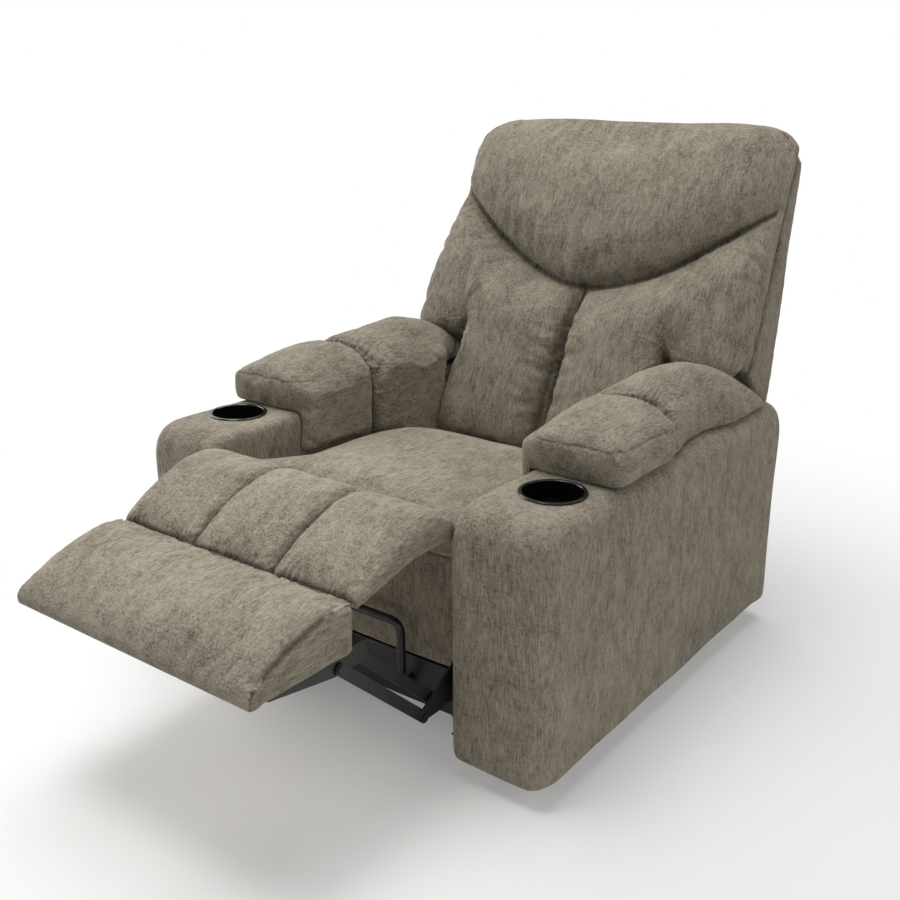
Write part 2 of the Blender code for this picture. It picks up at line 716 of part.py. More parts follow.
def seat_top(y, x):
    """Height of the seat cushion, crowned across and falling away to the rear."""
    side_share = (abs(x) / FOOT_HALF_WIDTH) ** 4
    if y < SEAT_MIDDLE_Y:
        share = (y - FLAP_END_Y) / (SEAT_MIDDLE_Y - FLAP_END_Y)
        top = between(SEAT_FRONT_TOP, SEAT_MIDDLE_TOP, share)
    else:
        share = (y - SEAT_MIDDLE_Y) / (SEAT_REAR_Y - SEAT_MIDDLE_Y)
        top = between(SEAT_MIDDLE_TOP, SEAT_REAR_TOP, share ** 2)
        side_share *= 1 - SEAT_REAR_LEVEL_SHARE * share ** 6
    ramp = min(max((y - FLAP_END_Y) / (SEAT_DROP_START_Y - FLAP_END_Y), 0.0), 1.0)
    return top - SEAT_SIDE_DROP * side_share * ramp


def seat_middle_section(x, wide):
    """Outline of the seat cushion at a place between the side plates, with its belly and tail."""
    front = FLAP_END_Y + RUNNING_GAP
    edge = SEAT_FRONT_TOP - CUSHION_BOTTOM
    rail_front = SEAT_RAIL_FRONT_Y + SEAT_RAIL_DEPTH
    rail_end = SEAT_REAR_RAIL_Y + SEAT_RAIL_DEPTH + SEAM_GAP
    spring_top = SPRING_Z + SPRING_WIRE_RADIUS
    loop = []
    for share in SEAT_TOP_SHARES:
        y = between(front, SEAT_REAR_Y, share)
        rounding = 1 - math.sqrt(max(0.0, 1 - (2 * share - 1) ** 12))
        floor_z = CUSHION_BOTTOM - seat_fall(y) + 3 * SEAM_GAP
        loop.append((x, y, max(seat_top(y, x) - edge / 2 * rounding, floor_z)))
    rear = CUSHION_BOTTOM - SEAT_FALL
    tail_low = spring_top - SEAT_FALL
    tail_end = SEAT_REAR_Y + SEAT_TAIL_LENGTH
    loop.append((x, SEAT_REAR_Y + SEAM_GAP, rear + SEAM_GAP))
    if abs(x) < wide:
        loop.append((x, tail_end, between(rear, tail_low, SEAT_TAIL_SLOPE)))
        loop.append((x, tail_end, between(rear, tail_low, SEAT_TAIL_DROP)))
        loop.append((x, rail_end, tail_low))
    else:
        loop.extend((x, between(SEAT_REAR_Y, rail_end, step / 3), rear) for step in range(3))
    loop.append((x, rail_end, rear))
    loop.append((x, SEAT_REAR_RAIL_Y - SEAM_GAP, rear))
    for y in (SEAT_BELLY_REAR_Y, SEAT_BELLY_FRONT_Y):
        low = spring_top if abs(x) <= SEAT_BELLY_HALF_WIDTH else CUSHION_BOTTOM
        loop.append((x, y, low + SEAM_GAP - seat_fall(y)))
    loop.append((x, rail_front, CUSHION_BOTTOM))
    loop.append((x, front + SEAM_GAP, CUSHION_BOTTOM))
    return loop


def seat_side_section(x):
    """Outline of the seat cushion over a side plate, where it ends sooner."""
    front = FLAP_END_Y + RUNNING_GAP
    edge = SEAT_FRONT_TOP - CUSHION_BOTTOM
    loop = []
    for share in SEAT_TOP_SHARES:
        y = between(front, SEAT_WIDE_REAR_Y, share)
        rounding = 1 - math.sqrt(max(0.0, 1 - (2 * share - 1) ** 12))
        loop.append((x, y, max(seat_top(y, x) - edge / 2 * rounding, CUSHION_BOTTOM + 3 * SEAM_GAP)))
    for share in SEAT_UNDER_SHARES:
        loop.append((x, between(front, SEAT_WIDE_REAR_Y, share), CUSHION_BOTTOM + SEAM_GAP))
    return loop


def seat_cushion(root):
    """Crowned seat cushion with a belly that sits on the springs between the side plates."""
    wide = INNER_PLANE - HEAD_SPACE
    half_places = [FOOT_HALF_WIDTH / 4, FOOT_HALF_WIDTH / 2, SEAT_BELLY_HALF_WIDTH]
    half_places += [wide, wide + SEAM_GAP, FOOT_HALF_WIDTH]
    loops = []
    for x in [-x for x in reversed(half_places)] + [0.0] + half_places:
        loops.append(seat_middle_section(x, wide) if abs(x) <= wide else seat_side_section(x))
    return make("seat_cushion", loft(loops), chenille, root)


def front_fascia(root):
    """Fabric-covered board that closes the space under the seat front."""
    low = BASE_CROSS_Z + BASE_FRONT_HEIGHT + SEAM_GAP
    rear = BASE_FRONT_Y + FASCIA_THICKNESS
    loops = []
    for share in (-1.0, -0.97, -0.7, 0.0, 0.7, 0.97, 1.0):
        swell = FASCIA_CROWN * (1 - share ** 4)
        edge = FASCIA_CROWN if abs(share) == 1.0 else 0.0
        x = share * FASCIA_HALF_WIDTH
        front = BASE_FRONT_Y + FASCIA_CROWN - swell
        middle = (low + FASCIA_TOP) / 2
        loops.append([
            (x, rear, low + edge), (x, front + FASCIA_CROWN, low + edge), (x, front, low + FASCIA_CROWN + edge),
            (x, front, middle), (x, front, FASCIA_TOP - FASCIA_CROWN - edge),
            (x, front + FASCIA_CROWN, FASCIA_TOP - edge), (x, rear, FASCIA_TOP - edge),
        ])
    return make("front_fascia", loft(loops), chenille, root)


# Arms

def arm_profile(inset):
    """Side outline of an arm, drawn in by an inset, less so at the rear."""
    front, rear = inset, ARM_DEPTH - inset * ARM_REAR_TAKE
    low, top = ARM_FLOOR_GAP + min(inset, ARM_BOTTOM_ROUND), ARM_HEIGHT - inset
    rounds = (
        (rear, top, ARM_REAR_TOP_ROUND, 0), (front, top, ARM_FRONT_TOP_ROUND, 1),
        (front, low, ARM_BOTTOM_ROUND, 2), (rear, low, ARM_BOTTOM_ROUND, 3),
    )
    signs = ((1, 1), (-1, 1), (-1, -1), (1, -1))
    outline = []
    for y, z, radius, quarter in rounds:
        along, up = signs[quarter]
        for step in range(CORNER_STEPS + 1):
            turn = (quarter + step / CORNER_STEPS) * math.pi / 2
            centre_y = y - along * radius
            centre_z = z - up * radius
            outline.append((centre_y + radius * math.cos(turn), centre_z + radius * math.sin(turn)))
    return outline


def arm(side, name, root):
    """Upholstered arm box with soft edges and a bore for the cup holder."""
    stations = [(ARM_INNER, ARM_INNER_ROUND), (ARM_INNER + ARM_INNER_ROUND / 3, ARM_INNER_ROUND / 3),
                (ARM_INNER + ARM_INNER_ROUND, 0.0)]
    for step in range(CORNER_STEPS + 1):
        turn = step / CORNER_STEPS * math.pi / 2
        x = ARM_OUTER - ARM_OUTER_ROUND * (1 - math.sin(turn))
        stations.append((x, ARM_OUTER_ROUND * (1 - math.cos(turn))))
    loops = [[(side * x, y, z) for y, z in arm_profile(inset)] for x, inset in stations]
    item = make(name, loft(loops), chenille, root)
    radius = CUP_WALL_RADIUS + PIVOT_GAP
    bore = []
    for z in (ARM_HEIGHT - CUP_DEPTH - CUP_WALL - PIVOT_GAP, ARM_HEIGHT + OVERRUN):
        bore.append([(x, y, z) for x, y in circle((side * ARM_CENTRE, CUP_SETBACK), radius, ROUND_STEPS * 2)])
    return cut(item, "cup_bore", loft(bore))


def cup_holder(side, name, root):
    """Turned cup with a flanged rim that lies on the arm."""
    rim_low = ARM_HEIGHT + SEAM_GAP
    rim_top = rim_low + CUP_RIM_HEIGHT
    floor_z = ARM_HEIGHT - CUP_DEPTH
    inner = CUP_WALL_RADIUS - CUP_WALL
    soft = CUP_RIM_HEIGHT / 3
    profile = (
        (0.0, floor_z - CUP_WALL), (CUP_WALL_RADIUS - CUP_WALL, floor_z - CUP_WALL),
        (CUP_WALL_RADIUS, floor_z), (CUP_WALL_RADIUS, rim_low), (CUP_RIM_RADIUS, rim_low),
        (CUP_RIM_RADIUS, rim_top - soft), (CUP_RIM_RADIUS - soft, rim_top), (inner + soft, rim_top),
        (inner, rim_top - soft), (inner, floor_z + CUP_WALL), (inner - CUP_WALL, floor_z), (0.0, floor_z),
    )
    steps = ROUND_STEPS * 2
    builder = bmesh.new()
    verts = [builder.verts.new((radius, 0.0, z)) for radius, z in profile]
    edges = [builder.edges.new(pair) for pair in zip(verts, verts[1:])]
    bmesh.ops.spin(builder, geom=verts + edges, cent=(0, 0, 0), axis=(0, 0, 1), angle=2 * math.pi,
                   steps=steps, use_duplicate=False)
    bmesh.ops.remove_doubles(builder, verts=builder.verts, dist=SEAM_GAP / 10)
    bmesh.ops.translate(builder, verts=builder.verts, vec=(side * ARM_CENTRE, CUP_SETBACK, 0.0))
    return make(name, builder, black_plastic, root)


def arm_pad_section(side, y, edge, top, draw, tail):
    """Cross-section of an arm pad: boxed sides, a domed top and a lap down the arm's inner face."""
    deck = ARM_HEIGHT + SEAM_GAP
    inner = ARM_INNER - SEAM_GAP
    outer = ARM_OUTER - PAD_OUTER_INSET - draw
    lapped = inner - (PAD_DRAPE_THICKNESS - draw) * tail
    seat = seat_top(y, ARM_INNER - PAD_DRAPE_THICKNESS) + RUNNING_GAP
    low = between(deck, seat, tail)
    shelf = max(between(deck, SIDE_PLATE_TOP + PAD_DRAPE_LIFT, tail), low + SEAM_GAP)
    points = [(outer, deck), (outer + PAD_SIDE_SWELL, deck + edge / 2), (outer, deck + edge)]
    for step in range(1, PAD_DOME_STEPS):
        share = step / PAD_DOME_STEPS
        rise = (top - edge) * math.sin(math.pi * share) ** PAD_DOME_POWER
        points.append((between(outer, lapped, share), deck + edge + rise))
    points.append((lapped, deck + edge))
    points.append((lapped, between(deck, low, 0.5)))
    points.append((between(lapped, inner, 0.1), between(deck, low, 0.93)))
    points.append((between(lapped, inner, 0.35), low))
    points.append((between(lapped, inner, 0.6), low))
    points.append((between(lapped, inner, 0.63), shelf))
    points.append((inner, shelf + SEAM_GAP))
    points.append((inner, deck))
    return [(side * x, y, z) for x, z in points]


def arm_pad(side, name, root, start, end, rise, side_rise, end_drop, joined_rear):
    """Stuffed pad on top of an arm, lofted from front to back; one end is sewn to the other pad."""
    loops = []
    for share in (0.0, 0.02, 0.07, 0.16, 0.30, 0.5, 0.70, 0.84, 0.93, 0.98, 1.0):
        y = between(start, end, share)
        height = rise - end_drop * share ** PAD_DROP_POWER
        edge = side_rise * height / rise
        crown = math.sqrt(1 - abs(2 * share - 1) ** 5)
        if (share > 0.5) == joined_rear:
            crown = between(PAD_JOIN_SHARE, 1.0, crown)
        draw = PAD_CORNER * (1 - fullness(min(y - start, end - y), 2 * PAD_CORNER))
        tail = min(max((PAD_DRAPE_END - y) / PAD_DRAPE_TAPER, 0.02), 1.0)
        loops.append(arm_pad_section(side, y, edge, between(edge, height, crown), draw, tail))
    return make(name, loft(loops), chenille, root)


def switch_bezel(root):
    """Frame of the hand switch, let into the outer face of one arm."""
    face = ARM_OUTER
    depth = SWITCH_DEPTH
    centre = (SWITCH_PLACE_Y, SWITCH_PLACE_Z)
    outline = rounded_box_outline(centre, SWITCH_LENGTH, SWITCH_HEIGHT, SWITCH_CORNER)
    item = make("switch_bezel", side_prism(outline, -face, -(face - depth)), black_plastic, root)
    pocket_floor = face - BUTTON_DEPTH - BUTTON_TRAVEL - PIVOT_GAP
    builder = bmesh.new()
    for step in (-1, 1):
        place = (SWITCH_PLACE_Y + step * BUTTON_SPACING / 2, SWITCH_PLACE_Z)
        hole = rounded_box_outline(place, BUTTON_LENGTH + 2 * PIVOT_GAP, BUTTON_HEIGHT + 2 * PIVOT_GAP,
                                   BUTTON_CORNER + PIVOT_GAP)
        add_loops(builder, [[(-x, y, z) for y, z in hole] for x in (face + OVERRUN, pocket_floor)])
    return cut(item, "button_pockets", builder)


def switch_pocket(arm_item):
    """Recess in the arm that takes the switch bezel."""
    centre = (SWITCH_PLACE_Y, SWITCH_PLACE_Z)
    outline = rounded_box_outline(centre, SWITCH_LENGTH + 2 * PIVOT_GAP, SWITCH_HEIGHT + 2 * PIVOT_GAP,
                                  SWITCH_CORNER + PIVOT_GAP)
    inner = -(ARM_OUTER - SWITCH_DEPTH - SEAM_GAP)
    return cut(arm_item, "switch_pocket", side_prism(outline, -(ARM_OUTER + OVERRUN), inner))


def button(name, step, carrier):
    """One push button that stands just proud of the bezel."""
    place = (SWITCH_PLACE_Y + step * BUTTON_SPACING / 2, SWITCH_PLACE_Z)
    outer = ARM_OUTER + BUTTON_PROUD
    soft = BUTTON_PROUD
    full = rounded_box_outline(place, BUTTON_LENGTH, BUTTON_HEIGHT, BUTTON_CORNER)
    small = rounded_box_outline(place, BUTTON_LENGTH - 2 * soft, BUTTON_HEIGHT - 2 * soft, BUTTON_CORNER - soft)
    loops = [
        [(-outer, y, z) for y, z in small], [(-(outer - soft), y, z) for y, z in full],
        [(-(outer - BUTTON_DEPTH), y, z) for y, z in full],
    ]
    return make(name, loft(loops), black_plastic, carrier)


# Footrest linkage

def punched_link(side, name, outline, holes, x_near, carrier):
    """Flat link with clearance holes for the pins that it turns on."""
    item = make(name, side_prism(outline, side * x_near, side * (x_near + LINK_THICKNESS)), black_steel, carrier)
    if holes:
        x_from, x_to = x_near - OVERRUN, x_near + LINK_THICKNESS + OVERRUN
        cut(item, "pin_holes", plain_pins(side, holes, PIN_RADIUS + PIVOT_GAP, x_from, x_to))
    return item


def drive_link(side, name, carrier):
    """Main driven link: turns on the side plate and carries two knees."""
    outline = link_outline((DRIVE_PIVOT, KNEE, OUTER_KNEE), LINK_RADIUS)
    item = punched_link(side, name, outline, (DRIVE_PIVOT,), LINK_PLANE, carrier)
    weld(item, "knee_pin", rivets(side, (KNEE,), LINK_PLANE, INNER_PLANE))
    through = SIDE_PLATE_X + LINK_THICKNESS
    return weld(item, "outer_pin", rivets(side, (OUTER_KNEE,), LINK_PLANE + LINK_THICKNESS, through, True))


def guide_link(side, name, carrier):
    """Link behind the driven one that keeps the knee link parallel."""
    outline = link_outline((GUIDE_PIVOT, GUIDE_KNEE), LINK_RADIUS)
    item = punched_link(side, name, outline, (GUIDE_PIVOT,), LINK_PLANE, carrier)
    return weld(item, "knee_pin", rivets(side, (GUIDE_KNEE,), LINK_PLANE, INNER_PLANE))


def knee_link(side, name, carrier):
    """Long link from the two knees to the footrest bracket."""
    centres = (GUIDE_KNEE, KNEE, FOOT_PIVOT)
    outline = bent_link_outline(*centres, LINK_RADIUS)
    return punched_link(side, name, outline, centres, INNER_PLANE, carrier)


def outer_link(side, name, carrier):
    """Second long link, outside the others, that steadies the footrest."""
    centres = (OUTER_KNEE, OUTER_FOOT_PIVOT)
    return punched_link(side, name, link_outline(centres, LINK_RADIUS), centres, SIDE_PLATE_X, carrier)


def drive_tube(carrier):
    """Round tube that ties both driven links together and carries the crank."""
    reach = LINK_PLANE - SEAM_GAP
    outer = circle(DRIVE_PIVOT, DRIVE_TUBE_RADIUS)
    tube_body = side_prism(outer, -reach, reach)
    item = make("drive_tube", tube_body, black_steel, carrier)
    half_slider = ACTUATOR_TONGUE_WIDTH / 2 + PIVOT_GAP
    builder = bmesh.new()
    outline = link_outline((DRIVE_PIVOT, CRANK_PIN), CRANK_RADIUS)
    for side in (-1, 1):
        xs = (side * half_slider, side * (half_slider + CRANK_PLATE))
        add_loops(builder, [[(x, y, z) for y, z in outline] for x in xs])
    weld(item, "crank", builder)
    bore = circle(DRIVE_PIVOT, DRIVE_TUBE_RADIUS - DRIVE_TUBE_WALL)
    return cut(item, "bore", side_prism(bore, -(reach + OVERRUN), reach + OVERRUN))


# Actuator

def actuator_cross_tube(root):
    """Square tube between the stands with a clevis for the actuator."""
    reach = SIDE_PLATE_X - SEAM_GAP
    half = ACTUATOR_CROSS_SIDE / 2
    middle = (STAND_REAR_Y + half, ACTUATOR_PIVOT[1])
    low = (-reach, middle[0] - half, middle[1] - half)
    high = (reach, middle[0] + half, middle[1] + half)
    item = make("actuator_cross_tube", box(low, high), black_steel, root)
    outline = hull(circle(ACTUATOR_PIVOT, CRANK_RADIUS) + [(low[1] + half / 2, low[2]), (low[1] + half / 2, high[2])])
    near = ACTUATOR_TONGUE_WIDTH / 2 + PIVOT_GAP
    ears = bmesh.new()
    for side in (-1, 1):
        xs = (side * near, side * (near + ACTUATOR_EAR))
        add_loops(ears, [[(x, y, z) for y, z in outline] for x in xs])
    weld(item, "clevis", ears)
    reach_pin = near + ACTUATOR_EAR / 2
    return weld(item, "clevis_pin", plain_pins(1, (ACTUATOR_PIVOT,), PIN_RADIUS, -reach_pin, reach_pin))


def gearbox(carrier):
    """Gearbox casting with a tongue that turns on the clevis pin."""
    nose = ACTUATOR_PIVOT_Y - GEARBOX_NOSE
    start = nose - GEARBOX_LENGTH
    centre = ((start + nose) / 2, ACTUATOR_PIVOT[1])
    outline = rounded_box_outline(centre, GEARBOX_LENGTH, GEARBOX_HEIGHT, GEARBOX_CORNER)
    half = GEARBOX_WIDTH / 2
    item = make("actuator_gearbox", side_prism(outline, -half, half), black_plastic, carrier)
    tongue = hull(circle(ACTUATOR_PIVOT, CRANK_RADIUS - PIVOT_GAP) + circle((nose - CRANK_RADIUS, centre[1]), CRANK_RADIUS))
    half_tongue = ACTUATOR_TONGUE_WIDTH / 2
    weld(item, "tongue", side_prism(tongue, -half_tongue, half_tongue))
    reach = half_tongue + OVERRUN
    return cut(item, "pin_hole", plain_pins(1, (ACTUATOR_PIVOT,), PIN_RADIUS + PIVOT_GAP, -reach, reach))


def motor(carrier):
    """Round motor can hanging under the gearbox."""
    centre = (0.0, ACTUATOR_PIVOT_Y - GEARBOX_NOSE - GEARBOX_LENGTH / 2)
    top = ACTUATOR_PIVOT[1] - GEARBOX_HEIGHT / 2 - SEAM_GAP
    low = top - MOTOR_LENGTH
    steps = (
        (top, MOTOR_RADIUS), (low + 2 * MOTOR_CAP, MOTOR_RADIUS),
        (low + 2 * MOTOR_CAP, MOTOR_RADIUS - MOTOR_CAP / 3), (low + MOTOR_CAP, MOTOR_RADIUS - MOTOR_CAP / 3),
        (low, MOTOR_RADIUS - MOTOR_CAP),
    )
    loops = [[(x, y, z) for x, y in circle(centre, radius)] for z, radius in steps]
    return make("actuator_motor", loft(loops), black_plastic, carrier)


def actuator_rail(carrier):
    """Open-bottomed aluminium channel that guides the slider."""
    front = CRANK_PIN[0] - ACTUATOR_RAIL_OVERHANG
    rear = ACTUATOR_PIVOT_Y - GEARBOX_NOSE - GEARBOX_LENGTH - SEAM_GAP
    half = ACTUATOR_RAIL_WIDTH / 2
    low = ACTUATOR_PIVOT[1] - ACTUATOR_RAIL_HEIGHT / 2
    top = low + ACTUATOR_RAIL_HEIGHT
    wall = ACTUATOR_RAIL_WALL
    profile = [
        (half, low), (half, top), (-half, top), (-half, low), (-half + wall, low), (-half + wall, top - wall),
        (half - wall, top - wall), (half - wall, low),
    ]
    loops = [[(x, y, z) for x, z in profile] for y in (front, rear)]
    return make("actuator_rail", loft(loops), zinc_steel, carrier)


def actuator_screw(carrier):
    """Lead screw inside the rail, from the gearbox to the front end."""
    front = CRANK_PIN[0] - ACTUATOR_RAIL_OVERHANG
    rear = ACTUATOR_PIVOT_Y - GEARBOX_NOSE - GEARBOX_LENGTH - SEAM_GAP
    centre = (0.0, ACTUATOR_PIVOT[1] - ACTUATOR_RAIL_WALL / 2)
    loops = []
    for y in (front, rear):
        loops.append([(x, y, z) for x, z in circle(centre, ACTUATOR_SCREW_RADIUS, SMALL_ROUND_STEPS)])
    return make("actuator_screw", loft(loops), zinc_steel, carrier)


def actuator_slider(carrier):
    """Sliding block that wraps the rail, with a lug between the two crank plates."""
    inner_half = ACTUATOR_RAIL_WIDTH / 2 + PIVOT_GAP
    inner_low = ACTUATOR_PIVOT[1] - ACTUATOR_RAIL_HEIGHT / 2 - PIVOT_GAP
    inner_top = inner_low + ACTUATOR_RAIL_HEIGHT + 2 * PIVOT_GAP
    outer_half = inner_half + SLIDER_WALL
    y_from = CRANK_PIN[0] - ACTUATOR_RAIL_OVERHANG + PIVOT_GAP
    y_to = y_from + SLIDER_LENGTH
    low = (-outer_half, y_from, inner_low - SLIDER_WALL)
    high = (outer_half, y_to, inner_top + SLIDER_WALL)
    item = make("actuator_slider", box(low, high), black_plastic, carrier)
    hole_low = (-inner_half, y_from - OVERRUN, inner_low)
    hole_high = (inner_half, y_to + OVERRUN, inner_top)
    cut(item, "rail_hole", box(hole_low, hole_high))
    half_lug = ACTUATOR_TONGUE_WIDTH / 2
    foot_z = inner_top + SLIDER_WALL / 2
    lug = hull(circle(CRANK_PIN, CRANK_RADIUS) + [(y_from + PIVOT_GAP, foot_z), (y_to - PIVOT_GAP, foot_z)])
    return weld(item, "lug", side_prism(lug, -half_lug, half_lug))


# Footrest

def footrest_board(carrier):
    """Plywood board with a raised rear part under the leg pad."""
    top = BOARD_Z + BOARD_THICKNESS
    rise_front, rise_rear = leg_pad_bottom(MID_SEAM_Y + OVERRUN), leg_pad_bottom(BOARD_REAR_Y)
    step = BOARD_STEP_Y
    shelf = MID_SEAM_Y + OVERRUN
    outline = [
        (BOARD_FRONT_Y, BOARD_Z), (step + BOARD_THICKNESS, BOARD_Z),
        (shelf + BOARD_THICKNESS, rise_front - SEAM_GAP - BOARD_THICKNESS),
        (BOARD_REAR_Y, rise_rear - SEAM_GAP - BOARD_THICKNESS), (BOARD_REAR_Y, rise_rear - SEAM_GAP),
        (shelf, rise_front - SEAM_GAP), (step, top), (BOARD_FRONT_Y, top),
    ]
    return make("footrest_board", side_prism(outline, -BOARD_HALF_WIDTH, BOARD_HALF_WIDTH), plywood, carrier)


def footrest_bracket(side, name, carrier):
    """Angle bracket under the board with the two footrest pivots."""
    shelf_top = BOARD_Z - SEAM_GAP
    low = FOOT_PIVOT[1] - LINK_RADIUS
    outline = [
        (BRACKET_FRONT_Y, shelf_top - LINK_RADIUS), (OUTER_FOOT_PIVOT[0] - LINK_RADIUS, low),
        (FOOT_PIVOT[0] + LINK_RADIUS / 2, low), (BRACKET_REAR_Y, FOOT_PIVOT[1]),
        (BRACKET_REAR_Y, shelf_top), (BRACKET_FRONT_Y, shelf_top),
    ]
    x_near, x_far = LINK_PLANE, LINK_PLANE + LINK_THICKNESS
    item = make(name, side_prism(outline, side * x_near, side * x_far), black_steel, carrier)
    flange_low = (side * (x_near - BRACKET_FLANGE), BRACKET_FRONT_Y, shelf_top - LINK_THICKNESS)
    flange_high = (side * (x_near + LINK_THICKNESS / 2), BRACKET_REAR_Y, shelf_top)
    weld(item, "flange", box(flange_low, flange_high))
    weld(item, "inner_pin", rivets(side, (FOOT_PIVOT,), LINK_PLANE, INNER_PLANE))
    through = SIDE_PLATE_X + LINK_THICKNESS
    return weld(item, "outer_pin", rivets(side, (OUTER_FOOT_PIVOT,), x_far, through, True))


def leg_pad_bottom(y):
    """Underside of the leg pad, rising from the middle seam to the fold line."""
    start = MID_SEAM_Z - LEG_PAD_THIN
    end = FOLD_CENTRE_Z + LEG_PAD_BOTTOM_LIFT
    return between(start, end, (y - MID_SEAM_Y) / (FOLD_CENTRE_Y - MID_SEAM_Y))


def channel_sections(seams, half_width, per_channel):
    """Places across a channelled pad, close together at its seams."""
    edges = [-half_width, *seams, half_width]
    places = []
    for near, far in zip(edges, edges[1:]):
        places.extend(between(near, far, share) for share in per_channel)
    places.append(half_width)
    return places


def channel_sink(x, seams, half_width):
    """How far the top is drawn down at a place across the pad."""
    seam_full = min(fullness(abs(x - seam), CHANNEL_REACH) for seam in seams)
    side_full = fullness(half_width - abs(x), CHANNEL_REACH)
    return CHANNEL_SINK * (1 - seam_full) + FOOT_SIDE_DRAW * (1 - side_full)


def leg_seams():
    return (-FOOT_HALF_WIDTH / 3, FOOT_HALF_WIDTH / 3)


def leg_pad(carrier):
    """Leg pad with three sewn channels, from the middle seam to the fold line."""
    end = FOLD_CENTRE_Y - SEAM_GAP / 2
    loops = []
    for x in channel_sections(leg_seams(), FOOT_HALF_WIDTH, CHANNEL_SHARES):
        sink = channel_sink(x, leg_seams(), FOOT_HALF_WIDTH)
        loop = []
        for share in (1.0, 0.85, 0.65, 0.45, 0.25, 0.10, 0.02, 0.0):
            y = between(MID_SEAM_Y, end, share)
            thick = between(LEG_PAD_THIN, LEG_PAD_THICK, share) + LEG_PAD_CROWN * math.sin(math.pi * share)
            rounded = thick * (0.45 if share == 0.0 else 0.8 if share < 0.05 else 1.0)
            loop.append((x, y, leg_pad_bottom(y) + max(rounded - sink, LEG_PAD_THIN / 4)))
        for share in (0.0, 0.4, 0.8, 1.0):
            y = between(MID_SEAM_Y, end, share)
            loop.append((x, y, leg_pad_bottom(y)))
        loops.append(loop)
    return make("leg_pad", loft(loops), chenille, carrier)


def leg_pad_flap(carrier):
    """Rear part of the leg pad that stays flat and bends away from it at the fold line."""
    start = FOLD_CENTRE_Y + SEAM_GAP / 2
    bottom = leg_pad_bottom(FOLD_CENTRE_Y)
    start_top = leg_pad_bottom(FOLD_CENTRE_Y) + LEG_PAD_THICK
    loops = []
    for x in channel_sections(leg_seams(), FOOT_HALF_WIDTH, CHANNEL_SHARES):
        sink = channel_sink(x, leg_seams(), FOOT_HALF_WIDTH)
        loop = []
        for share in (0.0, 0.2, 0.4, 0.6, 0.8, 0.95, 1.0):
            y = between(start, FLAP_END_Y, share)
            if share < 0.4:
                top = between(start_top, FLAP_CROWN_Z, share / 0.4)
            else:
                top = between(FLAP_CROWN_Z, FLAP_END_Z, ((share - 0.4) / 0.6) ** 2)
            if share == 1.0:
                top -= CHANNEL_SINK / 2
            loop.append((x, y, top - sink))
        loop.append((x, FLAP_END_Y, bottom))
        loop.append((x, start, bottom))
        loops.append(loop)
    return make("leg_pad_flap", loft(loops), chenille, carrier)


def foot_end_pad(carrier):
    """Wide end pillow of the footrest, with a skirt in front of the board."""
    rear = MID_SEAM_Y - SEAM_GAP
    floor_z = BOARD_Z + BOARD_THICKNESS + SEAM_GAP
    top_shares = (0.0, 0.03, 0.12, 0.28, 0.48, 0.68, 0.85, 0.95, 1.0)
    skirt_rear = BOARD_FRONT_Y - SEAM_GAP
    loops = []
    fold = LINK_PLANE + LINK_THICKNESS + PLANE_GAP
    half_places = [FOOT_HALF_WIDTH / 4, FOOT_HALF_WIDTH / 2, FOOT_HALF_WIDTH - 2 * CHANNEL_REACH,
                   FOOT_HALF_WIDTH - CHANNEL_REACH, fold, fold + SEAM_GAP, FOOT_HALF_WIDTH]
    for x in [-x for x in reversed(half_places)] + [0.0] + half_places:
        full = fullness(FOOT_HALF_WIDTH - abs(x), CHANNEL_REACH * 2)
        side_z = FOOT_SKIRT_Z + 2 * SEAM_GAP if abs(x) > fold else floor_z
        crown = FOOT_PAD_CROWN * between(FOOT_SIDE_CROWN_SHARE, 1.0, full)
        loop = []
        for share in top_shares:
            y = between(rear, FOOT_FRONT_Y, share)
            seam_line = between(MID_SEAM_Z - CHANNEL_SINK, FOOT_SKIRT_Z + FOOT_FRONT_BAND, share)
            loop.append((x, y, seam_line + crown * math.sqrt(max(0.0, 1 - (2 * share - 1) ** 2))))
        loop.append((x, FOOT_FRONT_Y + SEAM_GAP, FOOT_SKIRT_Z + SEAM_GAP))
        loop.append((x, (FOOT_FRONT_Y + skirt_rear) / 2, FOOT_SKIRT_Z))
        loop.append((x, skirt_rear, FOOT_SKIRT_Z + SEAM_GAP))
        loop.append((x, skirt_rear, side_z))
        loop.append((x, (skirt_rear + BOARD_STEP_Y) / 2, side_z))
        loop.append((x, BOARD_STEP_Y, side_z))
        loops.append(loop)
    return make("foot_end_pad", loft(loops), chenille, carrier)


# Back

def flared(x, along):
    """The wings widen below the curved seam."""
    wing_share = max(abs(x) - BACK_LOWER_HALF_WIDTH, 0.0) / (BACK_HALF_WIDTH - BACK_LOWER_HALF_WIDTH)
    low_share = min(max((SMILE_HIGH - along) / SMILE_LOW, 0.0), 1.0)
    return x + math.copysign(BACK_FLARE * wing_share * low_share, x)


def slope_point(x, along, out):
    """A place on the back: along its slope from the foot, and out from its face towards the sitter."""
    x = flared(x, along)
    y = BACK_FOOT_Y + along * math.sin(BACK_SLOPE) - out * math.cos(BACK_SLOPE)
    z = BACK_FOOT_Z + along * math.cos(BACK_SLOPE) + out * math.sin(BACK_SLOPE)
    return (x, y, z)


def wing_foot(out):
    """Where a wing starts: on a circle round the recline pivot that clears the arms."""
    rise_y, rise_z = BACK_FOOT_Y - RECLINE_PIVOT_Y, BACK_FOOT_Z - RECLINE_PIVOT_Z
    pivot_along = -(rise_y * math.sin(BACK_SLOPE) + rise_z * math.cos(BACK_SLOPE))
    pivot_out = rise_y * math.cos(BACK_SLOPE) - rise_z * math.sin(BACK_SLOPE)
    return pivot_along + math.sqrt(BACK_WING_CLEARANCE ** 2 - (out - pivot_out) ** 2)


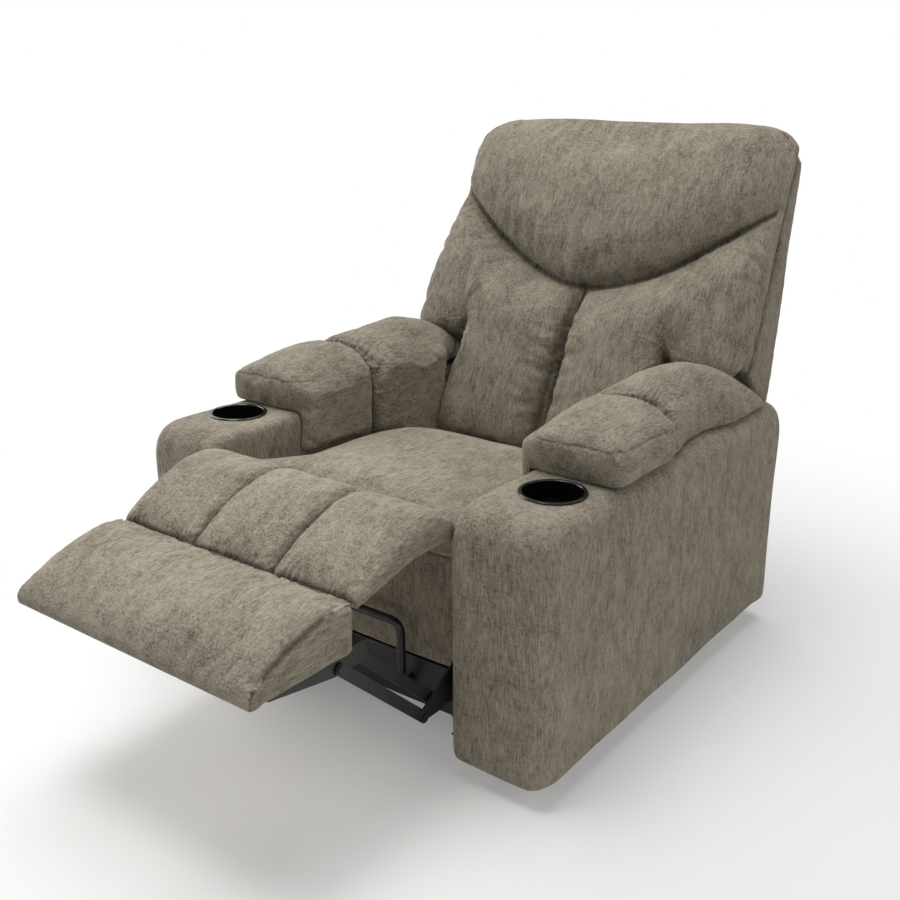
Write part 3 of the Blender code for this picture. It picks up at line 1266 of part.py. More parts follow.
def smile(x):
    """Height along the slope of the curved seam under the head pillow."""
    share = min(abs(x) / BACK_HALF_WIDTH, 1.0)
    return between(SMILE_LOW, SMILE_HIGH, share ** SMILE_POWER)


def lower_edge(x, out, foot):
    """Lower end of the back at a place across it: deep between the arms, high over them."""
    edge = BACK_LOWER_HALF_WIDTH
    share = min(max((abs(x) - edge) / BACK_WING_CORNER, 0.0), 1.0)
    return between(foot, wing_foot(out), share)


def across_half():
    """Places from the centre seam to one side, close together at the wing's inner corner."""
    edge, step, half = BACK_LOWER_HALF_WIDTH, BACK_WING_STEP, BACK_HALF_WIDTH
    return [SEAM_GAP, step, 3 * step, edge / 2, edge - 3 * step, edge - step, edge, edge + BACK_WING_CORNER,
            (edge + half) / 2, half - 2 * step, half - step / 2, half]


def across_back():
    """The same places on both sides of the centre seam."""
    return [-x for x in reversed(across_half())] + across_half()


def back_panel(carrier):
    """T-shaped plywood panel inside the back."""
    rear, front = -BACK_PANEL_REAR, -BACK_PANEL_REAR + BACK_PANEL_THICKNESS
    top = BACK_LENGTH - BACK_PANEL_CORNER
    loops = []
    for x in across_back():
        inset = BACK_WING_STEP
        if abs(x) > BACK_HALF_WIDTH - inset:
            x = math.copysign(BACK_HALF_WIDTH - inset / 2, x)
        low = lower_edge(x, rear, BACK_PANEL_FOOT)
        corner = BACK_PANEL_CORNER * (abs(x) / BACK_HALF_WIDTH) ** 8
        ends = ((low, rear), (top - corner, rear), (top - corner, front), (low, front))
        loops.append([slope_point(x, along, out) for along, out in ends])
    return make("back_panel", loft(loops), plywood, carrier)


def shell_depth(along):
    """Depth of the rear cover behind the back's face."""
    return between(BACK_SHELL_FOOT_DEPTH, BACK_SHELL_TOP_DEPTH, along / BACK_LENGTH)


def back_shell(carrier):
    """Upholstered rear cover, deep at its foot and thin at the top."""
    front = -(BACK_PANEL_REAR + SEAM_GAP)
    loops = []
    for x in across_back():
        side_share = (abs(x) / BACK_HALF_WIDTH) ** 12
        top = BACK_LENGTH - BACK_SHELL_TUCK - BACK_PANEL_CORNER * side_share
        loop = [slope_point(x, lower_edge(x, front, BACK_PANEL_FOOT), front), slope_point(x, top, front)]
        for share in (1.0, 0.97, 0.85, 0.6, 0.3, 0.06, 0.0):
            start = lower_edge(x, -shell_depth(BACK_WING_CLEARANCE / 2), BACK_PANEL_FOOT)
            depth = shell_depth(between(start, top, share)) - BACK_SHELL_TUCK / 2 * side_share
            if share in (0.0, 1.0):
                depth -= BACK_SHELL_TUCK / 2
            along = between(lower_edge(x, -depth, BACK_PANEL_FOOT), top, share)
            loop.append(slope_point(x, along, -depth))
        loops.append(loop)
    return make("back_shell", loft(loops), chenille, carrier)


def lumbar_pad(side, name, carrier):
    """Lower back cushion on one side of the centre seam, under the curved seam."""
    rear = -(BACK_PANEL_REAR - BACK_PANEL_THICKNESS - SEAM_GAP)
    step, half = BACK_WING_STEP, BACK_HALF_WIDTH
    loops = []
    for x in across_half():
        swell = min(fullness(x, 3 * step), fullness(half - x, 4 * step))
        bulge = between(BACK_PAD_EDGE, BACK_PAD_BULGE, swell)
        top = smile(x) - SEAM_GAP
        loop = []
        for share, out_share in ((0.0, 0.25), (0.03, 0.62), (0.12, 0.9), (0.35, 1.0), (0.6, 1.0),
                                 (0.82, 0.88), (0.95, 0.55), (1.0, 0.1)):
            out = between(0.0, bulge, out_share)
            low = lower_edge(x, out, BACK_LUMBAR_FOOT)
            loop.append(slope_point(side * x, between(low, top, share), out))
        low = lower_edge(x, rear, BACK_LUMBAR_REAR_FOOT)
        loop.append(slope_point(side * x, top, rear))
        loop.append(slope_point(side * x, low, rear))
        loops.append(loop)
    return make(name, loft(loops), chenille, carrier)


def head_pillow(carrier):
    """Wide pillow from the curved seam up and over the top of the back."""
    rear = -(BACK_PANEL_REAR - BACK_PANEL_THICKNESS - SEAM_GAP)
    loops = []
    half = BACK_HALF_WIDTH
    for x in across_back():
        swell = fullness(half - abs(x), half / 4)
        bulge = between(BACK_PAD_EDGE, HEAD_BULGE, swell)
        corner = BACK_PANEL_CORNER * (abs(x) / half) ** 10
        low, top = smile(x) + SEAM_GAP, HEAD_TOP - corner
        loop = []
        for share, out_share in ((0.0, 0.1), (0.05, 0.6), (0.18, 0.92), (0.45, 1.0), (0.72, 0.9),
                                 (0.88, 0.62), (0.97, 0.2), (1.0, -0.15)):
            loop.append(slope_point(x, between(low, top, share), bulge * out_share))
        loop.append(slope_point(x, top - BACK_PAD_EDGE, rear))
        loop.append(slope_point(x, low, rear))
        loops.append(loop)
    return make("head_pillow", loft(loops), chenille, carrier)


def back_bracket(side, name, carrier):
    """Steel strap from the recline pivot up the side of the panel."""
    mid = -(BACK_PANEL_REAR - BACK_PANEL_THICKNESS / 2)
    tip = slope_point(0.0, BACK_BRACKET_LENGTH, mid)[1:]
    foot = slope_point(0.0, BACK_BRACKET_WIDTH / 2, mid)[1:]
    radius = BACK_BRACKET_WIDTH / 2 - RUNNING_GAP
    outline = hull(circle(RECLINE_PIVOT, radius) + circle(foot, radius * 0.7) + circle(tip, radius * 0.6))
    item = make(name, side_prism(outline, side * LINK_PLANE, side * (LINK_PLANE + LINK_THICKNESS)), black_steel, carrier)
    x_from, x_to = LINK_PLANE - OVERRUN, LINK_PLANE + LINK_THICKNESS + OVERRUN
    cut(item, "pin_hole", plain_pins(side, (RECLINE_PIVOT,), PIN_RADIUS + PIVOT_GAP, x_from, x_to))
    lug_from = BACK_LOWER_HALF_WIDTH + BACK_WING_CORNER + SEAM_GAP
    lug = circle(foot, PIN_COLLAR_RADIUS, SMALL_ROUND_STEPS)
    loops = [[(side * x, y, z) for y, z in lug] for x in (lug_from, LINK_PLANE + LINK_THICKNESS / 2)]
    return weld(item, "lug", loft(loops))


SIDES = ((1, "left"), (-1, "right"))


def build_base(root):
    for side, label in SIDES:
        base_rail(side, "base_rail_" + label, root)
        glide("glide_front_" + label, side, BASE_FRONT_Y + GLIDE_INSET, root)
        glide("glide_rear_" + label, side, BASE_REAR_Y - GLIDE_INSET, root)
    base_cross("base_front_rail", BASE_FRONT_Y, BASE_FRONT_HEIGHT, root, "rear")
    base_cross("base_rear_rail", BASE_REAR_Y - BASE_CROSS_DEPTH, BASE_REAR_HEIGHT, root, "front")
    stop_hoop(root)
    power_inlet(root)


def build_seat(root):
    for side, label in SIDES:
        side_plate(side, "side_plate_" + label, root)
    seat_rail("seat_front_rail", SEAT_RAIL_FRONT_Y, SIDE_PLATE_TOP, INNER_PLANE - HEAD_SPACE, root)
    seat_rail("seat_rear_rail", SEAT_REAR_RAIL_Y, SIDE_PLATE_TOP - SEAT_FALL, SIDE_PLATE_X - SEAM_GAP, root)
    for i in range(SPRING_COUNT):
        x = (i - (SPRING_COUNT - 1) / 2) * SPRING_SPACING
        seat_spring("seat_spring_" + str(i + 1), x, root)
    seat_cushion(root)
    front_fascia(root)
    actuator_cross_tube(root)


def build_arms(root):
    for side, label in SIDES:
        item = arm(side, "arm_" + label, root)
        if side < 0:
            switch_pocket(item)
        cup_holder(side, "cup_holder_" + label, root)
        arm_pad(side, "arm_pad_front_" + label, root, PAD_FRONT_START, PAD_SPLIT, PAD_FRONT_RISE,
                PAD_SIDE_RISE, 0.0, True)
        arm_pad(side, "arm_pad_rear_" + label, root, PAD_SPLIT + RUNNING_GAP, PAD_REAR_END,
                PAD_REAR_RISE, PAD_REAR_SIDE_RISE, PAD_END_DROP, False)
    switch_bezel(root)
    for step, name in ((-1, "button_open"), (1, "button_close")):
        place = (-ARM_OUTER, SWITCH_PLACE_Y + step * BUTTON_SPACING / 2, SWITCH_PLACE_Z)
        button(name, step, pivot(name + "_slide", place, root))


def build_footrest(root):
    drive = pivot("footrest_fold", (0.0, *DRIVE_PIVOT), root)
    guide = pivot("guide_link_pivot", (0.0, *GUIDE_PIVOT), root)
    knee = pivot("knee_pivot", (0.0, *KNEE), drive)
    outer = pivot("outer_link_pivot", (0.0, *OUTER_KNEE), drive)
    foot = pivot("footrest_pivot", (0.0, *FOOT_PIVOT), knee)
    fold = pivot("leg_pad_fold", (0.0, *FOLD_CENTRE), foot)
    for side, label in SIDES:
        drive_link(side, "drive_link_" + label, drive)
        guide_link(side, "guide_link_" + label, guide)
        knee_link(side, "knee_link_" + label, knee)
        outer_link(side, "outer_link_" + label, outer)
        footrest_bracket(side, "footrest_bracket_" + label, foot)
    drive_tube(drive)
    footrest_board(foot)
    leg_pad(foot)
    foot_end_pad(foot)
    leg_pad_flap(fold)


def build_actuator(root):
    tilt = pivot("actuator_tilt", (0.0, *ACTUATOR_PIVOT), root)
    slide = pivot("slider_travel", (0.0, *CRANK_PIN), tilt)
    gearbox(tilt)
    motor(tilt)
    actuator_rail(tilt)
    actuator_screw(tilt)
    actuator_slider(slide)


def build_back(root):
    recline = pivot("back_recline", (0.0, *RECLINE_PIVOT), root)
    back_panel(recline)
    back_shell(recline)
    head_pillow(recline)
    for side, label in SIDES:
        lumbar_pad(side, "lumbar_pad_" + label, recline)
        back_bracket(side, "back_bracket_" + label, recline)


def build():
    clear_scene()
    datum = pivot("chair_datum", (0.0, 0.0, 0.0))
    datum.location.y = DATUM_Y
    build_base(datum)
    build_seat(datum)
    build_arms(datum)
    build_footrest(datum)
    build_actuator(datum)
    build_back(datum)


build()
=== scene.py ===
"""Dresses the power recliner: stuffed upholstery in chenille, finished hardware, stage and camera."""
import math

import bmesh
import bpy
import numpy as np
from bpy.props import FloatProperty, FloatVectorProperty, IntProperty, PointerProperty
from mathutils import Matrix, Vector, noise


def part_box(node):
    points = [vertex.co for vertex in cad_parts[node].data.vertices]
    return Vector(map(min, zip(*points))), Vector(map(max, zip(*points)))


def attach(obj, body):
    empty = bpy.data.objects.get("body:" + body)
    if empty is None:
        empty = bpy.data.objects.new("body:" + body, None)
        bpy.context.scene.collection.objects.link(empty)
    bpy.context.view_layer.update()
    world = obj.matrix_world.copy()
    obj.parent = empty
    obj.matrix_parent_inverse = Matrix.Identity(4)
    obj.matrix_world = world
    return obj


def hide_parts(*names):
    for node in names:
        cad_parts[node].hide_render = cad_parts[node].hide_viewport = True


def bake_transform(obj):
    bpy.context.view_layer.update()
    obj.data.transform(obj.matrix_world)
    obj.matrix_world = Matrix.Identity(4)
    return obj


bl_info = {
    "name": "Power recliner dressing",
    "version": (1, 0, 0),
    "blender": (4, 5, 0),
    "location": "3D View > Sidebar > Recliner",
    "description": "Upholstery, finishes, stage and camera for a power recliner",
    "category": "Object",
}

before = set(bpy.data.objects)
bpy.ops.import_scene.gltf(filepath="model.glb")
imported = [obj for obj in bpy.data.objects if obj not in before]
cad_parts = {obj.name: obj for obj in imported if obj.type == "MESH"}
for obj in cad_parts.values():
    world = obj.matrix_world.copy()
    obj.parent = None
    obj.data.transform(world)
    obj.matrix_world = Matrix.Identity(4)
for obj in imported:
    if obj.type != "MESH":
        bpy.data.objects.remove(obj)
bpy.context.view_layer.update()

# Lengths are in metres. The chair datum is the floor, the middle of the width and the arms' front plane.
# Names that end in SPAN hold where an even change starts and where it ends.
DATUM_Y = -0.334
SEAT_HALF = 0.276
ARM_TOP = 0.496
ARM_OUTER = 0.468
CUP_PLACE = (0.372, 0.155)
CUP_BORE = 0.0538
SWITCH_PLACE = (0.240, 0.395)
MID_SEAM = (-0.214, 0.420)
FOLD_LINE = (-0.0725, 0.4333)
CHANNEL_SEAM = 0.0915
CHANNEL_END = 0.012
PAD_JOIN = 0.4386
PAD_BOXING = 0.062
PAD_MIDDLE = 0.36
BACK_FOOT = (0.735, 0.420)
BACK_SLOPE = math.radians(28.0)
BACK_HALF = 0.400
SMILE_LOW = 0.300
SMILE_HIGH = 0.516
SMILE_POWER = 1.70
SMILE_LEAN = 0.8  # Distance from the curved seam, as a share of the height over it.
OFF_SEAM = 0.05  # Distance that stands for a point with no seam near it.
HOLD_NEAR = 0.005  # Points this near to a seam or a frame are held.
ALONG_CHAIR = (math.pi / 2, 0.0, 0.0)  # Turns the pile from upright to front and rear.

# Arms: plugs close the cup bore and the switch opening while the skin is made, and cutters open them again.
ARM_CELL = 0.0085
CUP_PLUG_MARGIN = 0.004
CUP_PLUG_FOOT = 0.38
CUP_DEPTH = 0.076
CUP_CUTTER_HALF = 0.08
SWITCH_PLUG = (0.03, 0.055, 0.030)
SWITCH_CUTTER = (0.0215, 0.0932, 0.0452)
CROWN = 0.004
CROWN_FROM = 0.37
CROWN_FOOT_SPAN = (0.04, 0.22)
CROWN_TOP_SPAN = (0.30, ARM_TOP)
CROWN_FRONT_SPAN = (DATUM_Y, DATUM_Y + 0.2)
CROWN_REAR_SPAN = (0.35, 0.57)
REAR_SWELL = 0.0045
REAR_SWELL_SPAN = (0.50, 0.57)
CORNER_SEAM_INSET = 0.012
CORNER_SEAM_TOP = 0.45

# Arm pads: the laps close the corner between the rear pad, the back and the seat, as two corners each.
# FRONT_FULL and REAR_FULL hold a least amount, what is added to it and the span of that; INNER_FADE, WAIST
# and TAIL hold an amount and its span.
PAD_LAPS = (
    ((0.2497, 0.52, 0.374), (0.2662, 0.70, 0.50)), ((0.2497, 0.52, 0.389), (0.2790, 0.655, 0.50)),
    ((0.2497, 0.60, 0.352), (0.2610, 0.70, 0.40)), ((0.2510, 0.54, 0.490), (0.3300, 0.70, 0.550)),
)
PAD_INNER = 0.2480
PAD_OUTER = ARM_OUTER - 0.002
PAD_SEAT_GAP = 0.0004
PAD_ARM_GAP = 0.0003
PAD_EDGE = 0.466
FRONT_FULL = (0.38, 0.52, (0.215, 0.38))
REAR_FULL = (0.74, 0.26, (0.50, 0.66))
INNER_DROP = 0.26
INNER_DROP_SPAN = (0.250, 0.315)
INNER_FADE = (0.6, (0.25, 0.45))
WAIST = (0.028, (0.40, 0.54))
TAIL = (0.024, (0.60, 0.70))
CORNER_BACK = 0.016
CORNER_ACROSS_SPAN = (0.248, 0.290)
CORNER_ALONG_SPAN = (0.222, 0.262)
SWEEP_ACROSS_SPAN = (0.285, 0.315)
SWEEP_RISE_SPAN = (ARM_TOP - 0.06, ARM_TOP - 0.02)
SWEEP_ROUNDS = 60
PAD_TOP_SPAN = (ARM_TOP, ARM_TOP + 0.03)
JOIN_RADIUS = 0.11
JOIN_FRONT_FOLDS = 0.35
WELT_REAR = PAD_JOIN - 0.03
WELT_INNER = 0.27
WELT_HALF = 0.003
LEVEL = 0.92  # A point faces up or down when its normal's upright part is larger.

# Seat: the spring plane under the cushion falls to the rear, and the cushion's rear is pressed down to it.
SPRING_HEIGHT = 0.3848
SPRING_FALL = 0.034
SPRING_FRONT = 0.126
SPRING_LENGTH = 0.504
SEAT_LEAST = 0.008
SEAT_SINK = 0.030
SEAT_SINK_SPAN = (0.40, 0.60)
SEAT_SIDE_GAP = 0.0008
SEAT_CELL = 0.0075
SEAT_REAR = 0.650
SEAT_SIDE_HOLD = 0.8
SEAT_SIDE_SPAN = (0.262, 0.272)
SEAT_TOP_SPAN = (0.40, 0.43)
SEAT_EDGE_TOP = 0.44
FASCIA_CELL = 0.004

# Footrest: the pads' undersides, which lie on the board, and the seam at the foot pillow's sides.
BOARD_DROP = 0.020
BOARD_GAP = 0.0012
FOOT_UNDERSIDE = 0.362
FOOT_SIDE_SEAM = 0.266
FOOT_SIDE_HOLD = 0.7
FOOT_SIDE_SPAN = (0.266, 0.273)
FOOT_TOP_SPAN = (0.36, 0.38)
LEG_REAR = 0.030
LEG_SIDE = 0.270

# Back: how far the head pillow's lip and the lower cushions are pushed out, and how far their ends come down.
# A FACE_SPAN is a depth in front of the panel, over which a push or a drop sets in.
BACK_CELL = 0.0065
LIP_PUSH = 0.017
LIP_REACH = 0.060
LIP_SPAN = (0.04, 0.30)
LIP_SIDE_LESS = 0.5
LIP_SIDE_SPAN = (0.20, 0.40)
LIP_FACE_SPAN = (0.004, 0.02)
UNDER_PUSH = 0.005
UNDER_REACH = 0.050
UNDER_SPAN = (0.05, 0.22)
FOOT_PUSH = 0.030
FOOT_PUSH_FACE_SPAN = (0.004, 0.035)
FOOT_PUSH_TOP_SPAN = (-0.15, -0.01)
WING_PUSH_LESS = 0.008
FOOT_DROP = 0.045
FOOT_DROP_SPAN = (-0.06, 0.14)
FOOT_DROP_FACE_SPAN = (0.0, 0.02)
BETWEEN_ARMS_SPAN = (0.246, 0.258)
WING_DROP = (0.034, 0.016, (0.32, 0.39))  # The least amount, what is added to it and the span of that.
WING_DROP_SPAN = (0.17, 0.32)
WING_DROP_FACE_SPAN = (0.0, 0.015)
WING_SPAN = (0.250, 0.275)
SQUARE_HALF = 0.2488
SQUARE_MORE = 0.006
SQUARE_SPAN = (0.07, 0.11)
SQUARE_SIDE_SPAN = (0.19, 0.24)
SQUARE_LIMIT = 0.26
WING_SPREAD = 0.008
SPREAD_SIDE_SPAN = (0.34, 0.41)
SPREAD_TOP_SPAN = (0.28, 0.42)
SPREAD_FACE_SPAN = (0.0, 0.02)
PINCH_PLACE = (0.262, 0.165)
PINCH_RADIUS = 0.05

# Stage: each lamp's name, place, aim, width, power and spread in degrees.
LAMPS = (
    ("top_lamp", (-0.3, 0.95, 3.2), (0.0, 0.2, 0.4), 2.6, 70.0, 180.0),
    ("foot_lamp", (-0.2, -0.7, 3.0), (0.0, -0.4, 0.4), 1.6, 16.0, 180.0),
    ("pad_lamp", (-0.25, -0.9, 2.6), (-0.05, -0.62, 0.4), 0.8, 1.3, 40.0),
    ("front_lamp", (0.2, -3.2, 1.6), (0.0, 0.0, 0.45), 2.2, 17.5, 180.0),
    ("right_lamp", (3.0, 0.2, 1.6), (0.0, 0.0, 0.45), 2.2, 28.0, 180.0),
    ("left_lamp", (-2.8, -0.4, 1.6), (0.0, 0.0, 0.45), 2.0, 44.0, 180.0),
)
CAMERA_PLACE = (1.2429, -1.6066, 1.1322)
CAMERA_PITCH = -18.68
CAMERA_YAW = 37.12
SKY = (0.94, 0.97, 1.0, 1)
SKY_STRENGTH = 0.10
WHITE = (1, 1, 1, 1)
FLOOR_RADIUS = 14.0
FLOOR_FADE_SPAN = (0.7, 1.9)
FLOOR_FADE_LEAST = 0.2
ROUND_SIDES = 96


def linear(code, alpha=1.0):
    """A hex colour in sRGB as linear values."""
    values = [int(code[i:i + 2], 16) / 255 for i in (1, 3, 5)]
    lit = [v / 12.92 if v <= 0.04045 else ((v + 0.055) / 1.055) ** 2.4 for v in values]
    return (*lit, alpha)


class RECLINER_PG_sizes(bpy.types.PropertyGroup):
    """Sizes of the upholstery work."""
    skin_cell: FloatProperty(
        name="Skin cell", description="Width of the even cells that a cushion's skin is made of",
        default=0.0055, min=0.004, max=0.02, unit="LENGTH")
    stuffing: FloatProperty(
        name="Stuffing", description="Pressure of the stuffing inside a cushion", default=4.0, min=0.0,
        max=20.0)
    settle_steps: IntProperty(
        name="Settle steps", description="Steps in which the stuffed skin settles", default=20, min=1, max=60)
    gather_pitch: FloatProperty(
        name="Gather pitch", description="Distance between the small folds along a gathered seam",
        default=0.016, min=0.004, max=0.05, unit="LENGTH")
    yarn_pitch: FloatProperty(
        name="Yarn pitch", description="Distance between rows of chenille yarn", default=0.0030, min=0.0005,
        max=0.01, unit="LENGTH")


class RECLINER_PG_colours(bpy.types.PropertyGroup):
    """Colours of the upholstery, the hardware and the floor."""
    pile_dark: FloatVectorProperty(
        name="Pile dark", description="Chenille where the pile is pressed down", subtype="COLOR", size=4,
        min=0.0, max=1.0, default=linear("#5A5245"))
    pile_light: FloatVectorProperty(
        name="Pile light", description="Chenille where the pile stands up", subtype="COLOR", size=4,
        min=0.0, max=1.0, default=linear("#A89F8D"))
    pile_grey: FloatVectorProperty(
        name="Pile grey", description="Cooler yarn between the warm ones", subtype="COLOR", size=4,
        min=0.0, max=1.0, default=linear("#8C867E"))
    steel_black: FloatVectorProperty(
        name="Black steel", description="Powder coat on frame and links", subtype="COLOR", size=4,
        min=0.0, max=1.0, default=linear("#1B1B1C"))
    zinc: FloatVectorProperty(
        name="Zinc", description="Zinc-plated springs, rail and screw", subtype="COLOR", size=4,
        min=0.0, max=1.0, default=linear("#C3C6C8"))
    plastic_black: FloatVectorProperty(
        name="Black plastic", description="Moulded plastic of the drive, switch and glides", subtype="COLOR",
        size=4, min=0.0, max=1.0, default=linear("#191919"))
    wood: FloatVectorProperty(
        name="Plywood", description="Raw birch plywood", subtype="COLOR", size=4, min=0.0, max=1.0,
        default=linear("#C9AE86"))
    wood_dark: FloatVectorProperty(
        name="Plywood grain", description="Grain lines in the plywood", subtype="COLOR", size=4, min=0.0,
        max=1.0, default=linear("#9C7C54"))
    floor: FloatVectorProperty(
        name="Floor", description="Pale studio floor", subtype="COLOR", size=4, min=0.0, max=1.0,
        default=linear("#F1F1F0"))


def sizes():
    return bpy.context.scene.recliner_sizes


def colours():
    return bpy.context.scene.recliner_colours


# Materials

def add_node(tree, kind, settings=(), links=()):
    """Adds a node, sets its properties or socket values, and links sources to its sockets."""
    item = tree.nodes.new(kind)
    for key, value in dict(settings).items():
        if isinstance(key, str) and hasattr(item, key):
            setattr(item, key, value)
        else:
            item.inputs[key].default_value = value
    for key, source in dict(links).items():
        tree.links.new(source, item.inputs[key])
    return item


def empty_material(name):
    """A new material, its node tree and the socket that gives the place on the object."""
    material = bpy.data.materials.new(name)
    material.use_nodes = True
    tree = material.node_tree
    tree.nodes.clear()
    return material, tree, add_node(tree, "ShaderNodeTexCoord").outputs["Object"]


def stretch(tree, place, scale):
    return add_node(tree, "ShaderNodeMapping", {"Scale": scale}, {"Vector": place}).outputs[0]


def noise_value(tree, place, **settings):
    """Noise at a place, with the node's settings in lower case, such as scale and detail."""
    named = {key.capitalize(): value for key, value in settings.items()}
    return add_node(tree, "ShaderNodeTexNoise", named, {"Vector": place}).outputs["Fac"]


def spread(tree, value, low, high, start, end):
    """Maps a value from low and high to start and end."""
    return add_node(tree, "ShaderNodeMapRange", {1: low, 2: high, 3: start, 4: end}, {0: value}).outputs[0]


def smooth_spread(tree, value, low, high, start, end):
    return add_node(tree, "ShaderNodeMapRange", {"interpolation_type": "SMOOTHSTEP", 1: low, 2: high,
                                                 3: start, 4: end}, {0: value}).outputs[0]


def mix_colour(tree, share, first, second, way="MIX"):
    """Mixes two colours by a share. Each of the three is a value or a socket."""
    settings, links = {"data_type": "RGBA", "blend_type": way}, {}
    for key, value in ((0, share), (6, first), (7, second)):
        (links if isinstance(value, bpy.types.NodeSocket) else settings)[key] = value
    return add_node(tree, "ShaderNodeMix", settings, links).outputs[2]


def combine(tree, operation, first, second):
    return add_node(tree, "ShaderNodeMath", {"operation": operation}, {0: first, 1: second}).outputs[0]


def bump_of(tree, height, strength, distance):
    return add_node(tree, "ShaderNodeBump", {"Strength": strength, "Distance": distance},
                    {"Height": height}).outputs[0]


def close_material(tree, settings, links):
    """Adds the shader and the output to a material's tree."""
    shader = add_node(tree, "ShaderNodeBsdfPrincipled", settings, links)
    add_node(tree, "ShaderNodeOutputMaterial", (), {"Surface": shader.outputs[0]})


def chenille(name, turn=(0.0, 0.0, 0.0)):
    """Chenille upholstery: soft twisted pile yarn on a plain weave, so it is matt, streaked along
    the pile and darker in patches where the pile lies down. The pile runs along the turned Z axis."""
    material, tree, place = empty_material(name)
    shades, pitch = colours(), sizes().yarn_pitch
    laid = add_node(tree, "ShaderNodeMapping", {"Rotation": turn}, {"Vector": place}).outputs[0]

    def streaks(across_x, across_y, across_z, detail, rough):
        cells = stretch(tree, laid, (1 / across_x, 1 / across_y, 1 / across_z))
        return noise_value(tree, cells, scale=1.0, detail=detail, roughness=rough)

    def total(first, second, share=1.0):
        return add_node(tree, "ShaderNodeMath", {"operation": "MULTIPLY_ADD", 1: share},
                        {0: second, 2: first}).outputs[0]

    # Pile yarns of about 3 mm, drawn as streaks 7 yarns long; ground yarns cross them both ways.
    pile = streaks(pitch, pitch, 7 * pitch, 2.0, 0.65)
    weft = combine(tree, "MAXIMUM", streaks(6 * pitch, pitch, pitch, 2.0, 0.65),
                   streaks(pitch, 6 * pitch, pitch, 2.0, 0.65))
    # Flattened strokes 6 mm wide, crushed patches 24 to 50 mm across and clouds about 160 mm across.
    strokes = spread(tree, streaks(0.006, 0.006, 0.026, 3.0, 0.7), 0.56, 0.74, 0.0, -0.26)
    crushed = spread(tree, streaks(0.024, 0.024, 0.050, 4.0, 0.66), 0.30, 0.70, -0.23, 0.19)
    clouds = spread(tree, streaks(0.16, 0.16, 0.20, 2.0, 0.5), 0.3, 0.7, -0.10, 0.10)
    yarns = spread(tree, total(pile, weft, 0.75), 0.68, 1.15, 0.15, 0.83)
    patch = total(total(strokes, crushed), clouds)
    blend = add_node(tree, "ShaderNodeMath", {"operation": "ADD", "use_clamp": True}, {0: yarns, 1: patch})
    warm = mix_colour(tree, blend.outputs[0], shades.pile_dark, shades.pile_light)
    mixed = mix_colour(tree, spread(tree, weft, 0.52, 0.72, 0.0, 0.5), warm, shades.pile_grey)
    # Within 7 mm of a sewn line the colour is darkened: painted shade in the seam's crease.
    seam = add_node(tree, "ShaderNodeAttribute", {"attribute_name": "seam"}).outputs["Fac"]
    near = smooth_spread(tree, seam, 0.0, 0.007, 0.30, 1.0)
    shaded = mix_colour(tree, 1.0, mixed, near, "MULTIPLY")
    close_material(tree, {
        "Roughness": 0.93, "Specular IOR Level": 0.15, "Sheen Weight": 0.18, "Sheen Roughness": 0.45,
        "Sheen Tint": linear("#D8D3C4"),
    }, {"Base Color": shaded, "Normal": bump_of(tree, total(yarns, patch, 0.6), 0.6, 0.0016)})
    return material


def powder_coat(name):
    """Black powder-coated steel: half gloss with a fine orange peel and greyer rubbed spots."""
    material, tree, place = empty_material(name)
    peel = noise_value(tree, place, scale=900.0, detail=2.0)
    rub = noise_value(tree, place, scale=28.0, detail=5.0, roughness=0.65)
    share = spread(tree, rub, 0.55, 0.75, 0.0, 0.35)
    shade = mix_colour(tree, share, colours().steel_black, linear("#3A3936"))
    dull = spread(tree, rub, 0.3, 0.7, 0.28, 0.46)
    close_material(tree, {"Specular IOR Level": 0.5}, {
        "Base Color": shade, "Roughness": dull, "Normal": bump_of(tree, peel, 0.12, 0.0003)})
    return material


def zinc_plate(name):
    """Bright zinc plating on drawn steel: cool metal with cloudy spangle and fine draw lines."""
    material, tree, place = empty_material(name)
    spangle = add_node(tree, "ShaderNodeTexVoronoi", {"Scale": 160.0}, {"Vector": place}).outputs["Distance"]
    drawn = noise_value(tree, stretch(tree, place, (1800.0, 60.0, 1800.0)), scale=1.0, detail=2.0)
    shade = mix_colour(tree, spangle, colours().zinc, linear("#9EA3A6"))
    dull = spread(tree, drawn, 0.3, 0.7, 0.24, 0.40)
    close_material(tree, {"Metallic": 1.0}, {
        "Base Color": shade, "Roughness": dull, "Normal": bump_of(tree, drawn, 0.10, 0.0002)})
    return material


def moulded_plastic(name, rough=0.42, grain=0.22, deep=None):
    """Moulded black ABS or nylon: spark-eroded grain of about 0.5 mm, or none where it is polished."""
    material, tree, place = empty_material(name)
    spark = noise_value(tree, place, scale=1900.0, detail=3.0)
    smear = noise_value(tree, place, scale=34.0, detail=4.0)
    first = linear(deep) if deep else colours().plastic_black
    shade = mix_colour(tree, smear, first, linear("#101010" if deep else "#262625"))
    dull = spread(tree, smear, 0.3, 0.7, rough * 0.85, rough * 1.15)
    close_material(tree, {"IOR": 1.5}, {
        "Base Color": shade, "Roughness": dull, "Normal": bump_of(tree, spark, grain, 0.0002)})
    return material


def raw_plywood(name):
    """Raw birch plywood: long soft grain across the chair and darker glue lines in the thickness."""
    material, tree, place = empty_material(name)
    along = stretch(tree, place, (9.0, 170.0, 170.0))
    grain = noise_value(tree, along, scale=1.0, detail=4.0, distortion=0.7)
    shade = mix_colour(tree, spread(tree, grain, 0.42, 0.68, 0.0, 0.75), colours().wood, colours().wood_dark)
    close_material(tree, {"Roughness": 0.68, "Specular IOR Level": 0.3}, {
        "Base Color": shade, "Normal": bump_of(tree, grain, 0.25, 0.0004)})
    return material


# Upholstery work

def spots_of(piece):
    spots = np.empty(len(piece.data.vertices) * 3, np.float32)
    piece.data.vertices.foreach_get("co", spots)
    return spots.reshape(-1, 3).astype(float)


